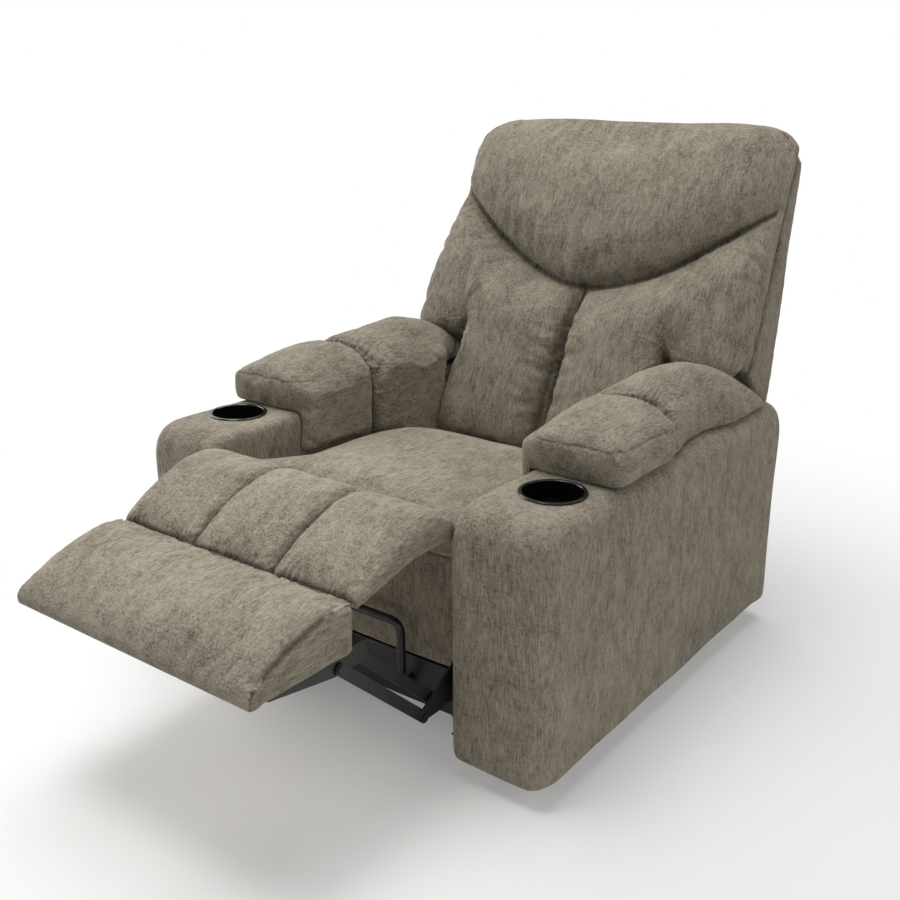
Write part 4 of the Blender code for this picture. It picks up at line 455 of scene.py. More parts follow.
def normals_of(piece):
    normals = np.empty(len(piece.data.vertices) * 3, np.float32)
    piece.data.vertex_normals.foreach_get("vector", normals)
    return normals.reshape(-1, 3).astype(float)


def put_spots(piece, spots):
    piece.data.vertices.foreach_set("co", spots.astype(np.float32).ravel())
    piece.data.update()


def ease(value, start, end):
    """0 before start, 1 after end, smooth in between."""
    share = np.clip((value - start) / (end - start), 0.0, 1.0)
    return share * share * (3 - 2 * share)


def grow(value, least, added, span):
    """The least amount before a span, with the added amount after it."""
    return least + added * ease(value, *span)


def apply_modifier(piece, name):
    bpy.ops.object.select_all(action="DESELECT")
    bpy.context.view_layer.objects.active = piece
    piece.select_set(True)
    bpy.ops.object.modifier_apply(modifier=name)


def soft_copy(name, nodes, cell, rounds, plugs=()):
    """An even closed skin round the solids of these nodes, with their corners rounded off."""
    builder = bmesh.new()
    for label in nodes:
        builder.from_mesh(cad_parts[label].data)
    bmesh.ops.remove_doubles(builder, verts=builder.verts, dist=0.00001)
    for low, high in plugs:
        block = bmesh.ops.create_cube(builder, size=1.0)["verts"]
        middle = (Vector(low) + Vector(high)) / 2
        bmesh.ops.scale(builder, vec=Vector(high) - Vector(low), verts=block)
        bmesh.ops.translate(builder, vec=middle, verts=block)
    mesh = bpy.data.meshes.new(name)
    builder.to_mesh(mesh)
    builder.free()
    piece = bpy.data.objects.new(name, mesh)
    bpy.context.scene.collection.objects.link(piece)
    skin = piece.modifiers.new("Skin", "REMESH")
    skin.mode = "VOXEL"
    skin.voxel_size = cell
    apply_modifier(piece, skin.name)
    if rounds:
        smooth(piece, rounds)
    return piece


def smooth(piece, rounds, group=""):
    """Rounds a skin off, only at the points of a group if one is named."""
    soften = piece.modifiers.new("Soften", "SMOOTH")
    soften.factor = 0.5
    soften.iterations = rounds
    soften.vertex_group = group
    apply_modifier(piece, soften.name)


def hold(piece, weights):
    """Marks how firmly each point is held while a skin is smoothed or its stuffing settles."""
    group = piece.vertex_groups.new(name="held")
    for level in np.unique(np.round(weights, 1)):
        if level > 0:
            found = np.nonzero(np.round(weights, 1) == level)[0]
            group.add([int(i) for i in found], float(level), "REPLACE")


def finer(piece):
    """Halves the cells of a finished form and gives every point its distance from a seam."""
    split = piece.modifiers.new("Finer", "SUBSURF")
    split.levels = 1
    split.render_levels = 1
    apply_modifier(piece, split.name)
    piece.vertex_groups.clear()
    marks = piece.data.attributes.new("seam", "FLOAT", "POINT")
    marks.data.foreach_set("value", np.full(len(piece.data.vertices), OFF_SEAM, np.float32))


CLOTH = {
    "quality": 4, "mass": 0.3, "tension_stiffness": 12.0, "compression_stiffness": 12.0,
    "shear_stiffness": 4.0, "bending_stiffness": 0.35, "use_pressure": True, "vertex_group_mass": "held",
}


def stuff(pieces, growth, swell):
    """Lets pressed stuffing fill the skins as cloth that grows, and keeps every point within the swell."""
    work = sizes()
    rests = [spots_of(piece) for piece in pieces]
    for piece in pieces:
        cloth = piece.modifiers.new("Stuffing", "CLOTH")
        for key, value in CLOTH.items():
            setattr(cloth.settings, key, value)
        cloth.settings.uniform_pressure_force = work.stuffing
        cloth.settings.effector_weights.gravity = 0.0
        cloth.settings.shrink_min = -growth
        cloth.collision_settings.use_collision = False
        cloth.point_cache.frame_start = 1
        cloth.point_cache.frame_end = work.settle_steps
    for step in range(1, work.settle_steps + 1):
        bpy.context.scene.frame_set(step)
    for piece, rest in zip(pieces, rests):
        apply_modifier(piece, "Stuffing")
        moved = spots_of(piece) - rest
        reach = np.maximum(np.linalg.norm(moved, axis=1), 1e-9)
        share = swell * np.tanh(reach / swell) / reach
        put_spots(piece, rest + moved * share[:, None])
    bpy.context.scene.frame_set(1)
    for piece in pieces:
        finer(piece)


def sew(piece, away, along, depth, width, gather=0.0, reach=0.03, side=1.0, dark=True):
    """Draws a sewn line into a skin. away and along are each point's distance from the line and
    its place along it. gather is the height of the small folds that run away from the line."""
    spots, normals = spots_of(piece), normals_of(piece)
    drop = depth * np.exp(-(away / width) ** 2)
    if gather:
        # The folds' spacing, lean and height change slowly along the seam.
        turns = 2 * np.pi * along / sizes().gather_pitch
        sway = np.sin(turns + 1.7 * np.sin(turns * 0.37) + 9.0 * away / reach * np.sin(turns * 0.21))
        strength = 0.65 + 0.35 * np.sin(turns * 0.13 + 1.1)
        fold = gather * np.exp(-away / reach) * sway * strength
        drop = drop + fold * side
    put_spots(piece, spots - normals * drop[:, None])
    # With dark, each point's distance from the line is kept in the seam attribute, from which the chenille
    # paints shade into the seam's crease.
    if not dark:
        return
    marks = piece.data.attributes["seam"]
    known = np.empty(len(spots), np.float32)
    marks.data.foreach_get("value", known)
    marks.data.foreach_set("value", np.minimum(known, away).astype(np.float32))


def rumple(piece, depth, scale, seed, keep=None):
    """Slow uneven hills and dents, as stuffing settles."""
    spots, normals = spots_of(piece), normals_of(piece)
    offset = Vector((seed, seed * 1.7, seed * 0.6))
    hills = np.array([noise.noise(Vector(spot) / scale + offset) for spot in spots])
    if keep is not None:
        hills = hills * keep
    put_spots(piece, spots + normals * (depth * hills)[:, None])


def dress(piece, material, nodes, body=None):
    """Gives a finished soft piece its fabric and, if one is named, its body, and hides the nodes it stands in
    for.
    """
    piece.data.materials.clear()
    piece.data.materials.append(material)
    bpy.ops.object.select_all(action="DESELECT")
    bpy.context.view_layer.objects.active = piece
    piece.select_set(True)
    bpy.ops.object.shade_smooth()
    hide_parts(*nodes)
    if body:
        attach(piece, body)


def back_places(piece):
    """A piece's points as (across, along the slope, out from the face) of the back."""
    spots = spots_of(piece)
    y = spots[:, 1] - DATUM_Y - BACK_FOOT[0]
    z = spots[:, 2] - BACK_FOOT[1]
    along = y * math.sin(BACK_SLOPE) + z * math.cos(BACK_SLOPE)
    out = -y * math.cos(BACK_SLOPE) + z * math.sin(BACK_SLOPE)
    return spots[:, 0], along, out


def smile(x):
    """Height of the curved seam under the head pillow."""
    share = np.minimum(np.abs(x) / BACK_HALF, 1.0)
    return SMILE_LOW + (SMILE_HIGH - SMILE_LOW) * share ** SMILE_POWER


class RECLINER_OT_arms(bpy.types.Operator):
    """Upholsters both arms: tight chenille over padded boxes, with a bore for each cup holder"""
    bl_idname = "recliner.arms"
    bl_label = "Arms"

    def execute(self, context):
        cover = chenille("chenille_arms")
        for side, label in ((1, "left"), (-1, "right")):
            cup = (side * CUP_PLACE[0], CUP_PLACE[1] + DATUM_Y)
            reach = CUP_BORE + CUP_PLUG_MARGIN
            plugs = [((cup[0] - reach, cup[1] - reach, CUP_PLUG_FOOT),
                      (cup[0] + reach, cup[1] + reach, ARM_TOP))]
            if side < 0:
                y, z = SWITCH_PLACE[0] + DATUM_Y, SWITCH_PLACE[1]
                deep, wide, high = SWITCH_PLUG
                plugs.append(((-ARM_OUTER, y - wide, z - high), (-ARM_OUTER + deep, y + wide, z + high)))
            piece = soft_copy("arm_cover_" + label, ["arm_" + label], ARM_CELL, rounds=6, plugs=plugs)
            finer(piece)
            self.crown(piece, side)
            rumple(piece, depth=0.0022, scale=0.13, seed=3.0 + side)
            spots, normals = spots_of(piece), normals_of(piece)
            put_spots(piece, spots + normals * (REAR_SWELL * ease(spots[:, 1], *REAR_SWELL_SPAN))[:, None])
            spots = spots_of(piece)
            outer = np.abs(side * spots[:, 0] - (ARM_OUTER - CORNER_SEAM_INSET))
            corner = np.abs(spots[:, 1] - DATUM_Y - CORNER_SEAM_INSET) + outer
            away = np.where(spots[:, 2] < CORNER_SEAM_TOP, corner, OFF_SEAM)
            sew(piece, away, spots[:, 2], depth=0.0010, width=0.004, dark=False)
            self.bore(piece, cup, side)
            dress(piece, cover, ["arm_" + label], "chair_base")
        return {"FINISHED"}

    def crown(self, piece, side):
        """The padding under the outer side stands out a little in its middle."""
        spots, normals = spots_of(piece), normals_of(piece)
        flat = np.abs(normals[:, 0]) ** 4
        crown = ease(spots[:, 2], *CROWN_FOOT_SPAN) * (1 - ease(spots[:, 2], *CROWN_TOP_SPAN))
        crown = crown * ease(spots[:, 1], *CROWN_FRONT_SPAN) * (1 - ease(spots[:, 1], *CROWN_REAR_SPAN))
        outer = side * spots[:, 0] > CROWN_FROM
        put_spots(piece, spots + normals * (CROWN * crown * flat * outer)[:, None])

    def bore(self, piece, cup, side):
        """Opens the bore for the cup holder and, on the right arm, the opening for the switch."""
        bpy.ops.object.select_all(action="DESELECT")
        middle = ARM_TOP - CUP_DEPTH + CUP_CUTTER_HALF
        bpy.ops.mesh.primitive_cylinder_add(vertices=ROUND_SIDES, radius=CUP_BORE, depth=2 * CUP_CUTTER_HALF,
                                            location=(cup[0], cup[1], middle))
        cutters = [bpy.context.object]
        if side < 0:
            y, z = SWITCH_PLACE[0] + DATUM_Y, SWITCH_PLACE[1]
            bpy.ops.mesh.primitive_cube_add(size=1.0, location=(-ARM_OUTER, y, z), scale=SWITCH_CUTTER)
            cutters.append(bpy.context.object)
        for cutter in cutters:
            cut = piece.modifiers.new("Cut", "BOOLEAN")
            cut.object = cutter
            cut.solver = "EXACT"
            apply_modifier(piece, cut.name)
            bpy.data.objects.remove(cutter, do_unlink=True)


class RECLINER_OT_arm_pads(bpy.types.Operator):
    """Stuffs the pads on each arm as one skin, drawn in and gathered where front and rear pad meet"""
    bl_idname = "recliner.arm_pads"
    bl_label = "Arm pads"

    def execute(self, context):
        cover = chenille("chenille_arm_pads", ALONG_CHAIR)
        pads = []
        for side, label in ((1, "left"), (-1, "right")):
            nodes = ["arm_pad_front_" + label, "arm_pad_rear_" + label]
            plugs = [((side * low[0], low[1] + DATUM_Y, low[2]), (side * high[0], high[1] + DATUM_Y, high[2]))
                     for low, high in PAD_LAPS]
            piece = soft_copy("arm_pillow_" + label, nodes, sizes().skin_cell, rounds=9, plugs=plugs)
            self.slope(piece, side)
            self.sweep(piece, side)
            spots = spots_of(piece)
            across = side * spots[:, 0]
            deck = (spots[:, 2] < ARM_TOP + 0.004) & (across > SEAT_HALF)
            inner = (across > SEAT_HALF - 0.006) & (spots[:, 2] < ARM_TOP)
            join = np.abs(spots[:, 1] - DATUM_Y - PAD_JOIN) < HOLD_NEAR
            hold(piece, np.where(deck | inner | join, 1.0, 0.0))
            pads.append((piece, side, nodes))
        stuff([pad[0] for pad in pads], growth=0.03, swell=0.009)
        for piece, side, nodes in pads:
            top = ease(spots_of(piece)[:, 2], *PAD_TOP_SPAN)
            rumple(piece, depth=0.0022, scale=0.085, seed=15.0 + side, keep=top)
            self.join(piece, side)
            self.welt(piece, side)
            self.seat(piece, side)
            dress(piece, cover, nodes, "chair_base")
        return {"FINISHED"}

    def slope(self, piece, side):
        """The tops run down to the front and to the seat, and the pads are narrower than the arm."""
        spots = spots_of(piece)
        y = spots[:, 1] - DATUM_Y
        across, rise = side * spots[:, 0], spots[:, 2] - ARM_TOP
        full = np.where(y < PAD_JOIN, grow(y, *FRONT_FULL), grow(y, *REAR_FULL))
        rise = np.where(rise > PAD_BOXING, PAD_BOXING + (rise - PAD_BOXING) * full, rise)
        inner = (1 - ease(across, *INNER_DROP_SPAN)) * (1 - INNER_FADE[0] * ease(y, *INNER_FADE[1]))
        rise = np.where(rise > 0.0, rise * (1 - INNER_DROP * inner), rise)
        spots[:, 2] = ARM_TOP + rise
        edge = PAD_EDGE - WAIST[0] * ease(y, *WAIST[1]) + TAIL[0] * ease(y, *TAIL[1])
        tight = (edge - PAD_MIDDLE) / (PAD_OUTER - PAD_MIDDLE)
        narrow = PAD_MIDDLE + (across - PAD_MIDDLE) * tight
        spots[:, 0] = side * np.where(across > PAD_MIDDLE, narrow, across)
        corner = (1 - ease(across, *CORNER_ACROSS_SPAN)) * (1 - ease(y, *CORNER_ALONG_SPAN))
        spots[:, 1] += CORNER_BACK * corner
        put_spots(piece, spots)

    def sweep(self, piece, side):
        """The tops sweep over the inner edge down to the seat."""
        spots = spots_of(piece)
        inner = 1 - ease(side * spots[:, 0], *SWEEP_ACROSS_SPAN)
        hold(piece, inner * ease(spots[:, 2], *SWEEP_RISE_SPAN))
        smooth(piece, SWEEP_ROUNDS, "held")
        piece.vertex_groups.clear()

    def join(self, piece, side):
        """The seam between front and rear pad, with folds that run back into the rear pad."""
        spots = spots_of(piece)
        around = np.arctan2(spots[:, 2] - ARM_TOP, side * spots[:, 0] - PAD_MIDDLE) * JOIN_RADIUS
        back = spots[:, 1] - DATUM_Y - PAD_JOIN
        sew(piece, np.abs(back), around, depth=0.006, width=0.010, gather=0.0034, reach=0.045,
            side=np.where(back > 0, 1.0, JOIN_FRONT_FOLDS))

    def welt(self, piece, side):
        """The sewn edge of the front pad's boxing."""
        spots, normals = spots_of(piece), normals_of(piece)
        y = spots[:, 1] - DATUM_Y
        edge = np.abs(spots[:, 2] - ARM_TOP - PAD_BOXING) + 0.02 * (np.abs(normals[:, 2]) > LEVEL)
        front = np.where((y < WELT_REAR) & (side * spots[:, 0] > WELT_INNER), edge, OFF_SEAM)
        sew(piece, front + WELT_HALF, spots[:, 0] + y, depth=0.0020, width=0.005, gather=0.0005, reach=0.02)

    def seat(self, piece, side):
        """Keeps the pad on the arm, beside the seat cushion and inside the arm's outer side."""
        spots = spots_of(piece)
        across = side * spots[:, 0]
        across = np.where(spots[:, 2] < ARM_TOP, np.minimum(across, SEAT_HALF - PAD_SEAT_GAP), across)
        spots[:, 0] = side * np.clip(across, PAD_INNER, PAD_OUTER)
        spots[:, 2] = np.maximum(spots[:, 2], np.where(across > SEAT_HALF, ARM_TOP + PAD_ARM_GAP, 0.0))
        put_spots(piece, spots)


class RECLINER_OT_seat(bpy.types.Operator):
    """Stuffs the seat cushion and covers the board under its front"""
    bl_idname = "recliner.seat"
    bl_label = "Seat"

    def execute(self, context):
        cover = chenille("chenille_seat", ALONG_CHAIR)
        piece = soft_copy("seat_pillow", ["seat_cushion"], SEAT_CELL, rounds=8)
        self.sink(piece)
        spots = spots_of(piece)
        y = spots[:, 1] - DATUM_Y
        low = (normals_of(piece)[:, 2] < 0.0) | (y > SEAT_REAR)
        sides = ease(np.abs(spots[:, 0]), *SEAT_SIDE_SPAN)
        hold(piece, np.where(low, 1.0, SEAT_SIDE_HOLD * sides))
        stuff([piece], growth=0.02, swell=0.010)
        top = ease(spots_of(piece)[:, 2], *SEAT_TOP_SPAN)
        rumple(piece, depth=0.0022, scale=0.09, seed=8.0, keep=top)
        spots = spots_of(piece)
        spots[:, 0] = np.clip(spots[:, 0], -SEAT_HALF + SEAT_SIDE_GAP, SEAT_HALF - SEAT_SIDE_GAP)
        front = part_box("seat_cushion")[0].y
        spots[:, 1] = np.maximum(spots[:, 1], front)
        put_spots(piece, spots)
        edge = np.abs(spots[:, 1] - front) + 0.6 * np.maximum(SEAT_EDGE_TOP - spots[:, 2], 0.0)
        sew(piece, edge, spots[:, 0], depth=0.004, width=0.010, gather=0.0012, reach=0.03)
        dress(piece, cover, ["seat_cushion"], "chair_base")

        board = soft_copy("fascia_cover", ["front_fascia"], FASCIA_CELL, rounds=4)
        finer(board)
        rumple(board, depth=0.0012, scale=0.06, seed=5.0)
        dress(board, chenille("chenille_fascia"), ["front_fascia"], "chair_base")
        return {"FINISHED"}

    def sink(self, piece):
        """The rear of the seat is pressed down where the back meets it."""
        spots, normals = spots_of(piece), normals_of(piece)
        y = spots[:, 1] - DATUM_Y
        springs = SPRING_HEIGHT - SPRING_FALL * np.clip((y - SPRING_FRONT) / SPRING_LENGTH, 0.0, 1.0)
        least = springs + SEAT_LEAST
        lower = np.maximum(spots[:, 2] - SEAT_SINK * ease(y, *SEAT_SINK_SPAN), least)
        spots[:, 2] = np.where((normals[:, 2] > 0.2) & (spots[:, 2] > least), lower, spots[:, 2])
        put_spots(piece, spots)


class RECLINER_OT_leg_pad(bpy.types.Operator):
    """Stuffs the channelled leg pad, one skin across its fold line"""
    bl_idname = "recliner.leg_pad"
    bl_label = "Leg pad"

    def execute(self, context):
        cover = chenille("chenille_leg_pad", ALONG_CHAIR)
        piece = soft_copy("leg_pillow", ["leg_pad", "leg_pad_flap"], sizes().skin_cell, rounds=8)
        spots, normals = spots_of(piece), normals_of(piece)
        y = spots[:, 1] - DATUM_Y
        board, fold = MID_SEAM[1] - BOARD_DROP, FOLD_LINE[1] + BOARD_GAP
        rise = (fold - board) / (FOLD_LINE[0] - MID_SEAM[0])
        low = spots[:, 2] < np.minimum(board + rise * (y - MID_SEAM[0]), fold) + HOLD_NEAR
        sewn = (self.channels(spots) < 0.004) & (y < CHANNEL_END) & (normals[:, 2] > 0)
        ends = (y < MID_SEAM[0] + 0.006) | (y > LEG_REAR)
        sides = np.abs(spots[:, 0]) > LEG_SIDE
        hold(piece, np.where(low | sewn | ends | sides, 1.0, 0.0))
        stuff([piece], growth=0.03, swell=0.008)
        spots, normals = spots_of(piece), normals_of(piece)
        y = spots[:, 1] - DATUM_Y
        past = np.maximum(y - CHANNEL_END, 0.0)
        away = np.where(normals[:, 2] > 0.1, np.hypot(self.channels(spots), past), OFF_SEAM)
        sew(piece, away, y, depth=0.005, width=0.006, gather=0.0010, reach=0.02)
        spots, normals = spots_of(piece), normals_of(piece)
        seam = np.where(normals[:, 2] > 0.0, spots[:, 1] - DATUM_Y - MID_SEAM[0], OFF_SEAM)
        sew(piece, np.abs(seam), spots[:, 0], depth=0.003, width=0.008, gather=0.0022, reach=0.03)
        dress(piece, cover, ["leg_pad", "leg_pad_flap"])
        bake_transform(piece)
        return {"FINISHED"}

    def channels(self, spots):
        """Each point's distance from the nearer of the two seams between the channels."""
        return np.minimum(np.abs(spots[:, 0] - CHANNEL_SEAM), np.abs(spots[:, 0] + CHANNEL_SEAM))


class RECLINER_OT_foot_pad(bpy.types.Operator):
    """Stuffs the wide end pillow of the footrest"""
    bl_idname = "recliner.foot_pad"
    bl_label = "Foot pillow"

    def execute(self, context):
        cover = chenille("chenille_foot_pillow", ALONG_CHAIR)
        piece = soft_copy("foot_pillow", ["foot_end_pad"], sizes().skin_cell, rounds=6)
        spots = spots_of(piece)
        low = spots[:, 2] < FOOT_UNDERSIDE
        seam = spots[:, 1] - DATUM_Y > MID_SEAM[0] - 0.006
        sides = FOOT_SIDE_HOLD * ease(np.abs(spots[:, 0]), *FOOT_SIDE_SPAN)
        hold(piece, np.where(low | seam, 1.0, sides))
        stuff([piece], growth=0.03, swell=0.009)
        top = ease(spots_of(piece)[:, 2], *FOOT_TOP_SPAN)
        rumple(piece, depth=0.0020, scale=0.07, seed=12.0, keep=top)
        spots = spots_of(piece)
        away = np.abs(spots[:, 1] - DATUM_Y - MID_SEAM[0])
        sew(piece, away, spots[:, 0], depth=0.003, width=0.008, gather=0.0025, reach=0.035)
        spots, normals = spots_of(piece), normals_of(piece)
        edge = np.abs(np.abs(spots[:, 0]) - FOOT_SIDE_SEAM) + np.where(np.abs(normals[:, 0]) > 0.2, 0.0, 0.01)
        sew(piece, edge, spots[:, 1], depth=0.0012, width=0.004)
        dress(piece, cover, ["foot_end_pad"], "footrest")
        return {"FINISHED"}


class RECLINER_OT_back_pads(bpy.types.Operator):
    """Stuffs the back's front as one skin, sewn into a head pillow and two lower cushions"""
    bl_idname = "recliner.back_pads"
    bl_label = "Back cushions"

    def execute(self, context):
        cover = chenille("chenille_back", (BACK_SLOPE, 0.0, 0.0))
        nodes = ["head_pillow", "lumbar_pad_left", "lumbar_pad_right", "back_panel"]
        piece = soft_copy("back_pillow", nodes, BACK_CELL, rounds=8)
        x, along, out = back_places(piece)
        seam = np.abs(along - smile(x)) * SMILE_LEAN < 0.006
        middle = (np.abs(x) < HOLD_NEAR) & (along < SMILE_LOW)
        hold(piece, np.where((out < 0.004) | seam | middle, 1.0, 0.0))
        stuff([piece], growth=0.03, swell=0.014)
        self.lip(piece)
        rumple(piece, depth=0.0032, scale=0.12, seed=23.0)
        rumple(piece, depth=0.0008, scale=0.050, seed=27.0)
        self.foot(piece)
        self.seams(piece)
        dress(piece, cover, nodes, "back")
        return {"FINISHED"}

    def lip(self, piece):
        """The head pillow is fullest just above its curved seam and rolls over it."""
        x, along, out = back_places(piece)
        above = (along - smile(x)) * SMILE_LEAN
        roll = (1 - (1 - np.clip(above / LIP_REACH, 0.0, 1.0)) ** 2) ** 0.6 * (1 - ease(above, *LIP_SPAN))
        below = (1 - (1 - np.clip(-above / UNDER_REACH, 0.0, 1.0)) ** 2) ** 0.7
        below = below * (1 - ease(-above, *UNDER_SPAN))
        centre = 1 - LIP_SIDE_LESS * ease(np.abs(x), *LIP_SIDE_SPAN)
        push = LIP_PUSH * roll * (above > 0) + UNDER_PUSH * below * (above < 0)
        push = push * centre * ease(out, *LIP_FACE_SPAN)
        spots = spots_of(piece)
        spots[:, 1] -= push * math.cos(BACK_SLOPE)
        spots[:, 2] += push * math.sin(BACK_SLOPE)
        put_spots(piece, spots)

    def foot(self, piece):
        """The lower cushions are full, reach down to the seat between the arms, and their wings
        spread and come down to the pads."""
        x, along, out = back_places(piece)
        wide = np.abs(x)
        wing = ease(wide, *WING_SPAN)
        fuller = ease(out, *FOOT_PUSH_FACE_SPAN) * (1 - ease(along - smile(x), *FOOT_PUSH_TOP_SPAN))
        push = (FOOT_PUSH - WING_PUSH_LESS * wing) * fuller
        inner = 1 - ease(wide, *BETWEEN_ARMS_SPAN)
        drop = FOOT_DROP * inner * (1 - ease(along, *FOOT_DROP_SPAN)) * ease(out, *FOOT_DROP_FACE_SPAN)
        low = grow(wide, *WING_DROP)
        drop = drop + low * wing * (1 - ease(along, *WING_DROP_SPAN)) * ease(out, *WING_DROP_FACE_SPAN)
        spots = spots_of(piece)
        spots[:, 1] -= drop * math.sin(BACK_SLOPE) + push * math.cos(BACK_SLOPE)
        spots[:, 2] -= drop * math.cos(BACK_SLOPE) - push * math.sin(BACK_SLOPE)
        square = np.minimum(wide + SQUARE_MORE * ease(wide, *SQUARE_SIDE_SPAN), SQUARE_HALF)
        square = np.where(wide < SQUARE_LIMIT, square, wide)
        square = wide + (square - wide) * (1 - ease(along, *SQUARE_SPAN))
        wider = WING_SPREAD * ease(wide, *SPREAD_SIDE_SPAN) * (1 - ease(along, *SPREAD_TOP_SPAN))
        wider = wider * ease(out, *SPREAD_FACE_SPAN)
        spots[:, 0] = np.sign(x) * (square + wider)
        put_spots(piece, spots)

    def seams(self, piece):
        """The curved seam, the seam between the lower cushions, and the pinch above each arm."""
        x, along, out = back_places(piece)
        front = np.where(out > 0.003, 0.0, OFF_SEAM)
        curve = np.abs(along - smile(x)) * SMILE_LEAN + front
        sew(piece, curve, x, depth=0.006, width=0.010, gather=0.0014, reach=0.035)
        x, along, out = back_places(piece)
        middle = np.hypot(x, np.maximum(along - SMILE_LOW, 0.0)) + front
        sew(piece, middle, along, depth=0.006, width=0.010, gather=0.0008, reach=0.03)
        x, along, out = back_places(piece)
        across, up = np.abs(x) - PINCH_PLACE[0], along - PINCH_PLACE[1]
        pinch = np.where(out > 0.005, np.hypot(across, up), OFF_SEAM)
        around = np.arctan2(up, across) * PINCH_RADIUS
        sew(piece, pinch, around, depth=0.005, width=0.03, gather=0.0022, reach=0.040, dark=False)


class RECLINER_OT_back_cover(bpy.types.Operator):
    """Upholsters the rear and the sides of the back"""
    bl_idname = "recliner.back_cover"
    bl_label = "Back cover"

    def execute(self, context):
        piece = soft_copy("back_cover", ["back_shell"], ARM_CELL, rounds=6)
        finer(piece)
        rumple(piece, depth=0.0020, scale=0.13, seed=31.0)
        dress(piece, chenille("chenille_back_cover", (BACK_SLOPE, 0.0, 0.0)), ["back_shell"], "back")
        return {"FINISHED"}


class RECLINER_OT_hardware(bpy.types.Operator):
    """Finishes the frame, the linkage, the drive, the switch and the cup holders"""
    bl_idname = "recliner.hardware"
    bl_label = "Hardware"

    def execute(self, context):
        finishes = {
            "black_steel": powder_coat("powder_coated_steel"),
            "zinc_steel": zinc_plate("zinc_plated_steel"),
            "black_plastic": moulded_plastic("moulded_black_plastic"),
            "plywood": raw_plywood("raw_birch_plywood"),
        }
        gloss = moulded_plastic("polished_black_plastic", rough=0.14, grain=0.0, deep="#0A0A0A")
        for label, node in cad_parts.items():
            if node.hide_render:
                continue
            old = node.data.materials[0].name.split(".")[0]
            new = gloss if label.startswith("cup_holder") else finishes.get(old)
            if new is None:
                raise RuntimeError(label + " has no finish")
            for slot in node.material_slots:
                slot.material = new
        return {"FINISHED"}


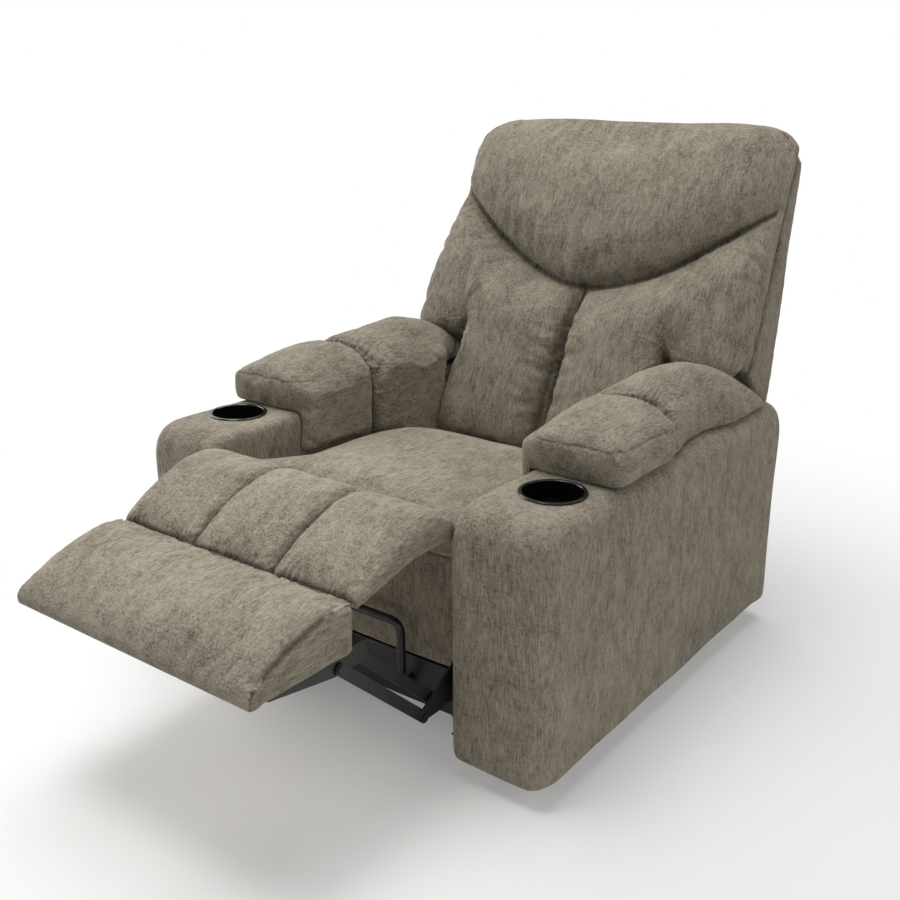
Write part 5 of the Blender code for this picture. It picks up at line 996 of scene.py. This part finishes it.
class RECLINER_OT_stage(bpy.types.Operator):
    """Sets the pale floor, the soft lamps, the plain world and the camera"""
    bl_idname = "recliner.stage"
    bl_label = "Stage"

    def execute(self, context):
        self.camera(context)
        self.lamps()
        self.world(context)
        self.floor()
        context.scene.view_settings.view_transform = "Standard"
        return {"FINISHED"}

    def camera(self, context):
        lens = bpy.data.cameras.new("camera")
        lens.lens = 43.83
        lens.sensor_width = 36.0
        item = bpy.data.objects.new("camera", lens)
        item.location = CAMERA_PLACE
        item.rotation_euler = (math.radians(90.0 + CAMERA_PITCH), 0.0, math.radians(CAMERA_YAW))
        context.scene.collection.objects.link(item)
        context.scene.camera = item

    def lamps(self):
        for name, place, aim, width, power, angle in LAMPS:
            light = bpy.data.lights.new(name, "AREA")
            light.spread = math.radians(angle)
            light.shape = "SQUARE"
            light.size = width
            light.energy = power
            item = bpy.data.objects.new(name, light)
            item.location = place
            item.rotation_euler = (Vector(aim) - Vector(place)).to_track_quat("-Z", "Y").to_euler()
            bpy.context.scene.collection.objects.link(item)

    def world(self, context):
        world = bpy.data.worlds.new("studio")
        world.use_nodes = True
        context.scene.world = world
        tree = world.node_tree
        tree.nodes.clear()
        rays = add_node(tree, "ShaderNodeLightPath").outputs
        seen = combine(tree, "MAXIMUM", rays["Is Camera Ray"], rays["Is Glossy Ray"])
        seen = combine(tree, "MAXIMUM", seen, rays["Is Transmission Ray"])
        lit = add_node(tree, "ShaderNodeBackground", {"Color": SKY, "Strength": SKY_STRENGTH})
        white = add_node(tree, "ShaderNodeBackground", {"Color": WHITE, "Strength": 1.0})
        mixed = add_node(tree, "ShaderNodeMixShader", (), {0: seen, 1: lit.outputs[0], 2: white.outputs[0]})
        add_node(tree, "ShaderNodeOutputWorld", (), {"Surface": mixed.outputs[0]})

    def floor(self):
        """A pale floor that fades to white away from the chair, for the camera only."""
        bpy.ops.object.select_all(action="DESELECT")
        bpy.ops.mesh.primitive_circle_add(vertices=ROUND_SIDES, radius=FLOOR_RADIUS, fill_type="NGON",
                                          location=(0.0, 0.0, 0.0))
        item = bpy.context.object
        item.name = "studio_floor"
        material, tree, place = empty_material("pale_floor")
        far = add_node(tree, "ShaderNodeVectorMath", {"operation": "LENGTH"}, {0: place}).outputs["Value"]
        fade = smooth_spread(tree, far, *FLOOR_FADE_SPAN, FLOOR_FADE_LEAST, 1.0)
        rays = add_node(tree, "ShaderNodeLightPath").outputs
        seen = combine(tree, "MULTIPLY", fade, rays["Is Camera Ray"])
        matt = add_node(tree, "ShaderNodeBsdfDiffuse", {"Color": colours().floor}).outputs[0]
        white = add_node(tree, "ShaderNodeEmission", {"Color": WHITE, "Strength": 1.0}).outputs[0]
        mixed = add_node(tree, "ShaderNodeMixShader", (), {0: seen, 1: matt, 2: white})
        add_node(tree, "ShaderNodeOutputMaterial", (), {"Surface": mixed.outputs[0]})
        item.data.materials.append(material)


class RECLINER_PT_panel(bpy.types.Panel):
    """Lists the sizes, the colours and the work steps"""
    bl_idname = "RECLINER_PT_panel"
    bl_label = "Recliner"
    bl_space_type = "VIEW_3D"
    bl_region_type = "UI"
    bl_category = "Recliner"

    def draw(self, context):
        for group in (context.scene.recliner_sizes, context.scene.recliner_colours):
            for name in group.__annotations__:
                self.layout.prop(group, name)
        for step in STEPS:
            self.layout.operator(step.bl_idname)


STEPS = (
    RECLINER_OT_arms, RECLINER_OT_arm_pads, RECLINER_OT_seat, RECLINER_OT_leg_pad, RECLINER_OT_foot_pad,
    RECLINER_OT_back_pads, RECLINER_OT_back_cover, RECLINER_OT_hardware, RECLINER_OT_stage,
)
CLASSES = (RECLINER_PG_sizes, RECLINER_PG_colours, *STEPS, RECLINER_PT_panel)


def register():
    for item in CLASSES:
        bpy.utils.register_class(item)
    bpy.types.Scene.recliner_sizes = PointerProperty(type=RECLINER_PG_sizes)
    bpy.types.Scene.recliner_colours = PointerProperty(type=RECLINER_PG_colours)


def unregister():
    del bpy.types.Scene.recliner_colours
    del bpy.types.Scene.recliner_sizes
    for item in reversed(CLASSES):
        bpy.utils.unregister_class(item)


def main():
    register()
    bpy.ops.recliner.arms()
    bpy.ops.recliner.arm_pads()
    bpy.ops.recliner.seat()
    bpy.ops.recliner.leg_pad()
    bpy.ops.recliner.foot_pad()
    bpy.ops.recliner.back_pads()
    bpy.ops.recliner.back_cover()
    bpy.ops.recliner.hardware()
    bpy.ops.recliner.stage()


if __name__ == "__main__":
    main()
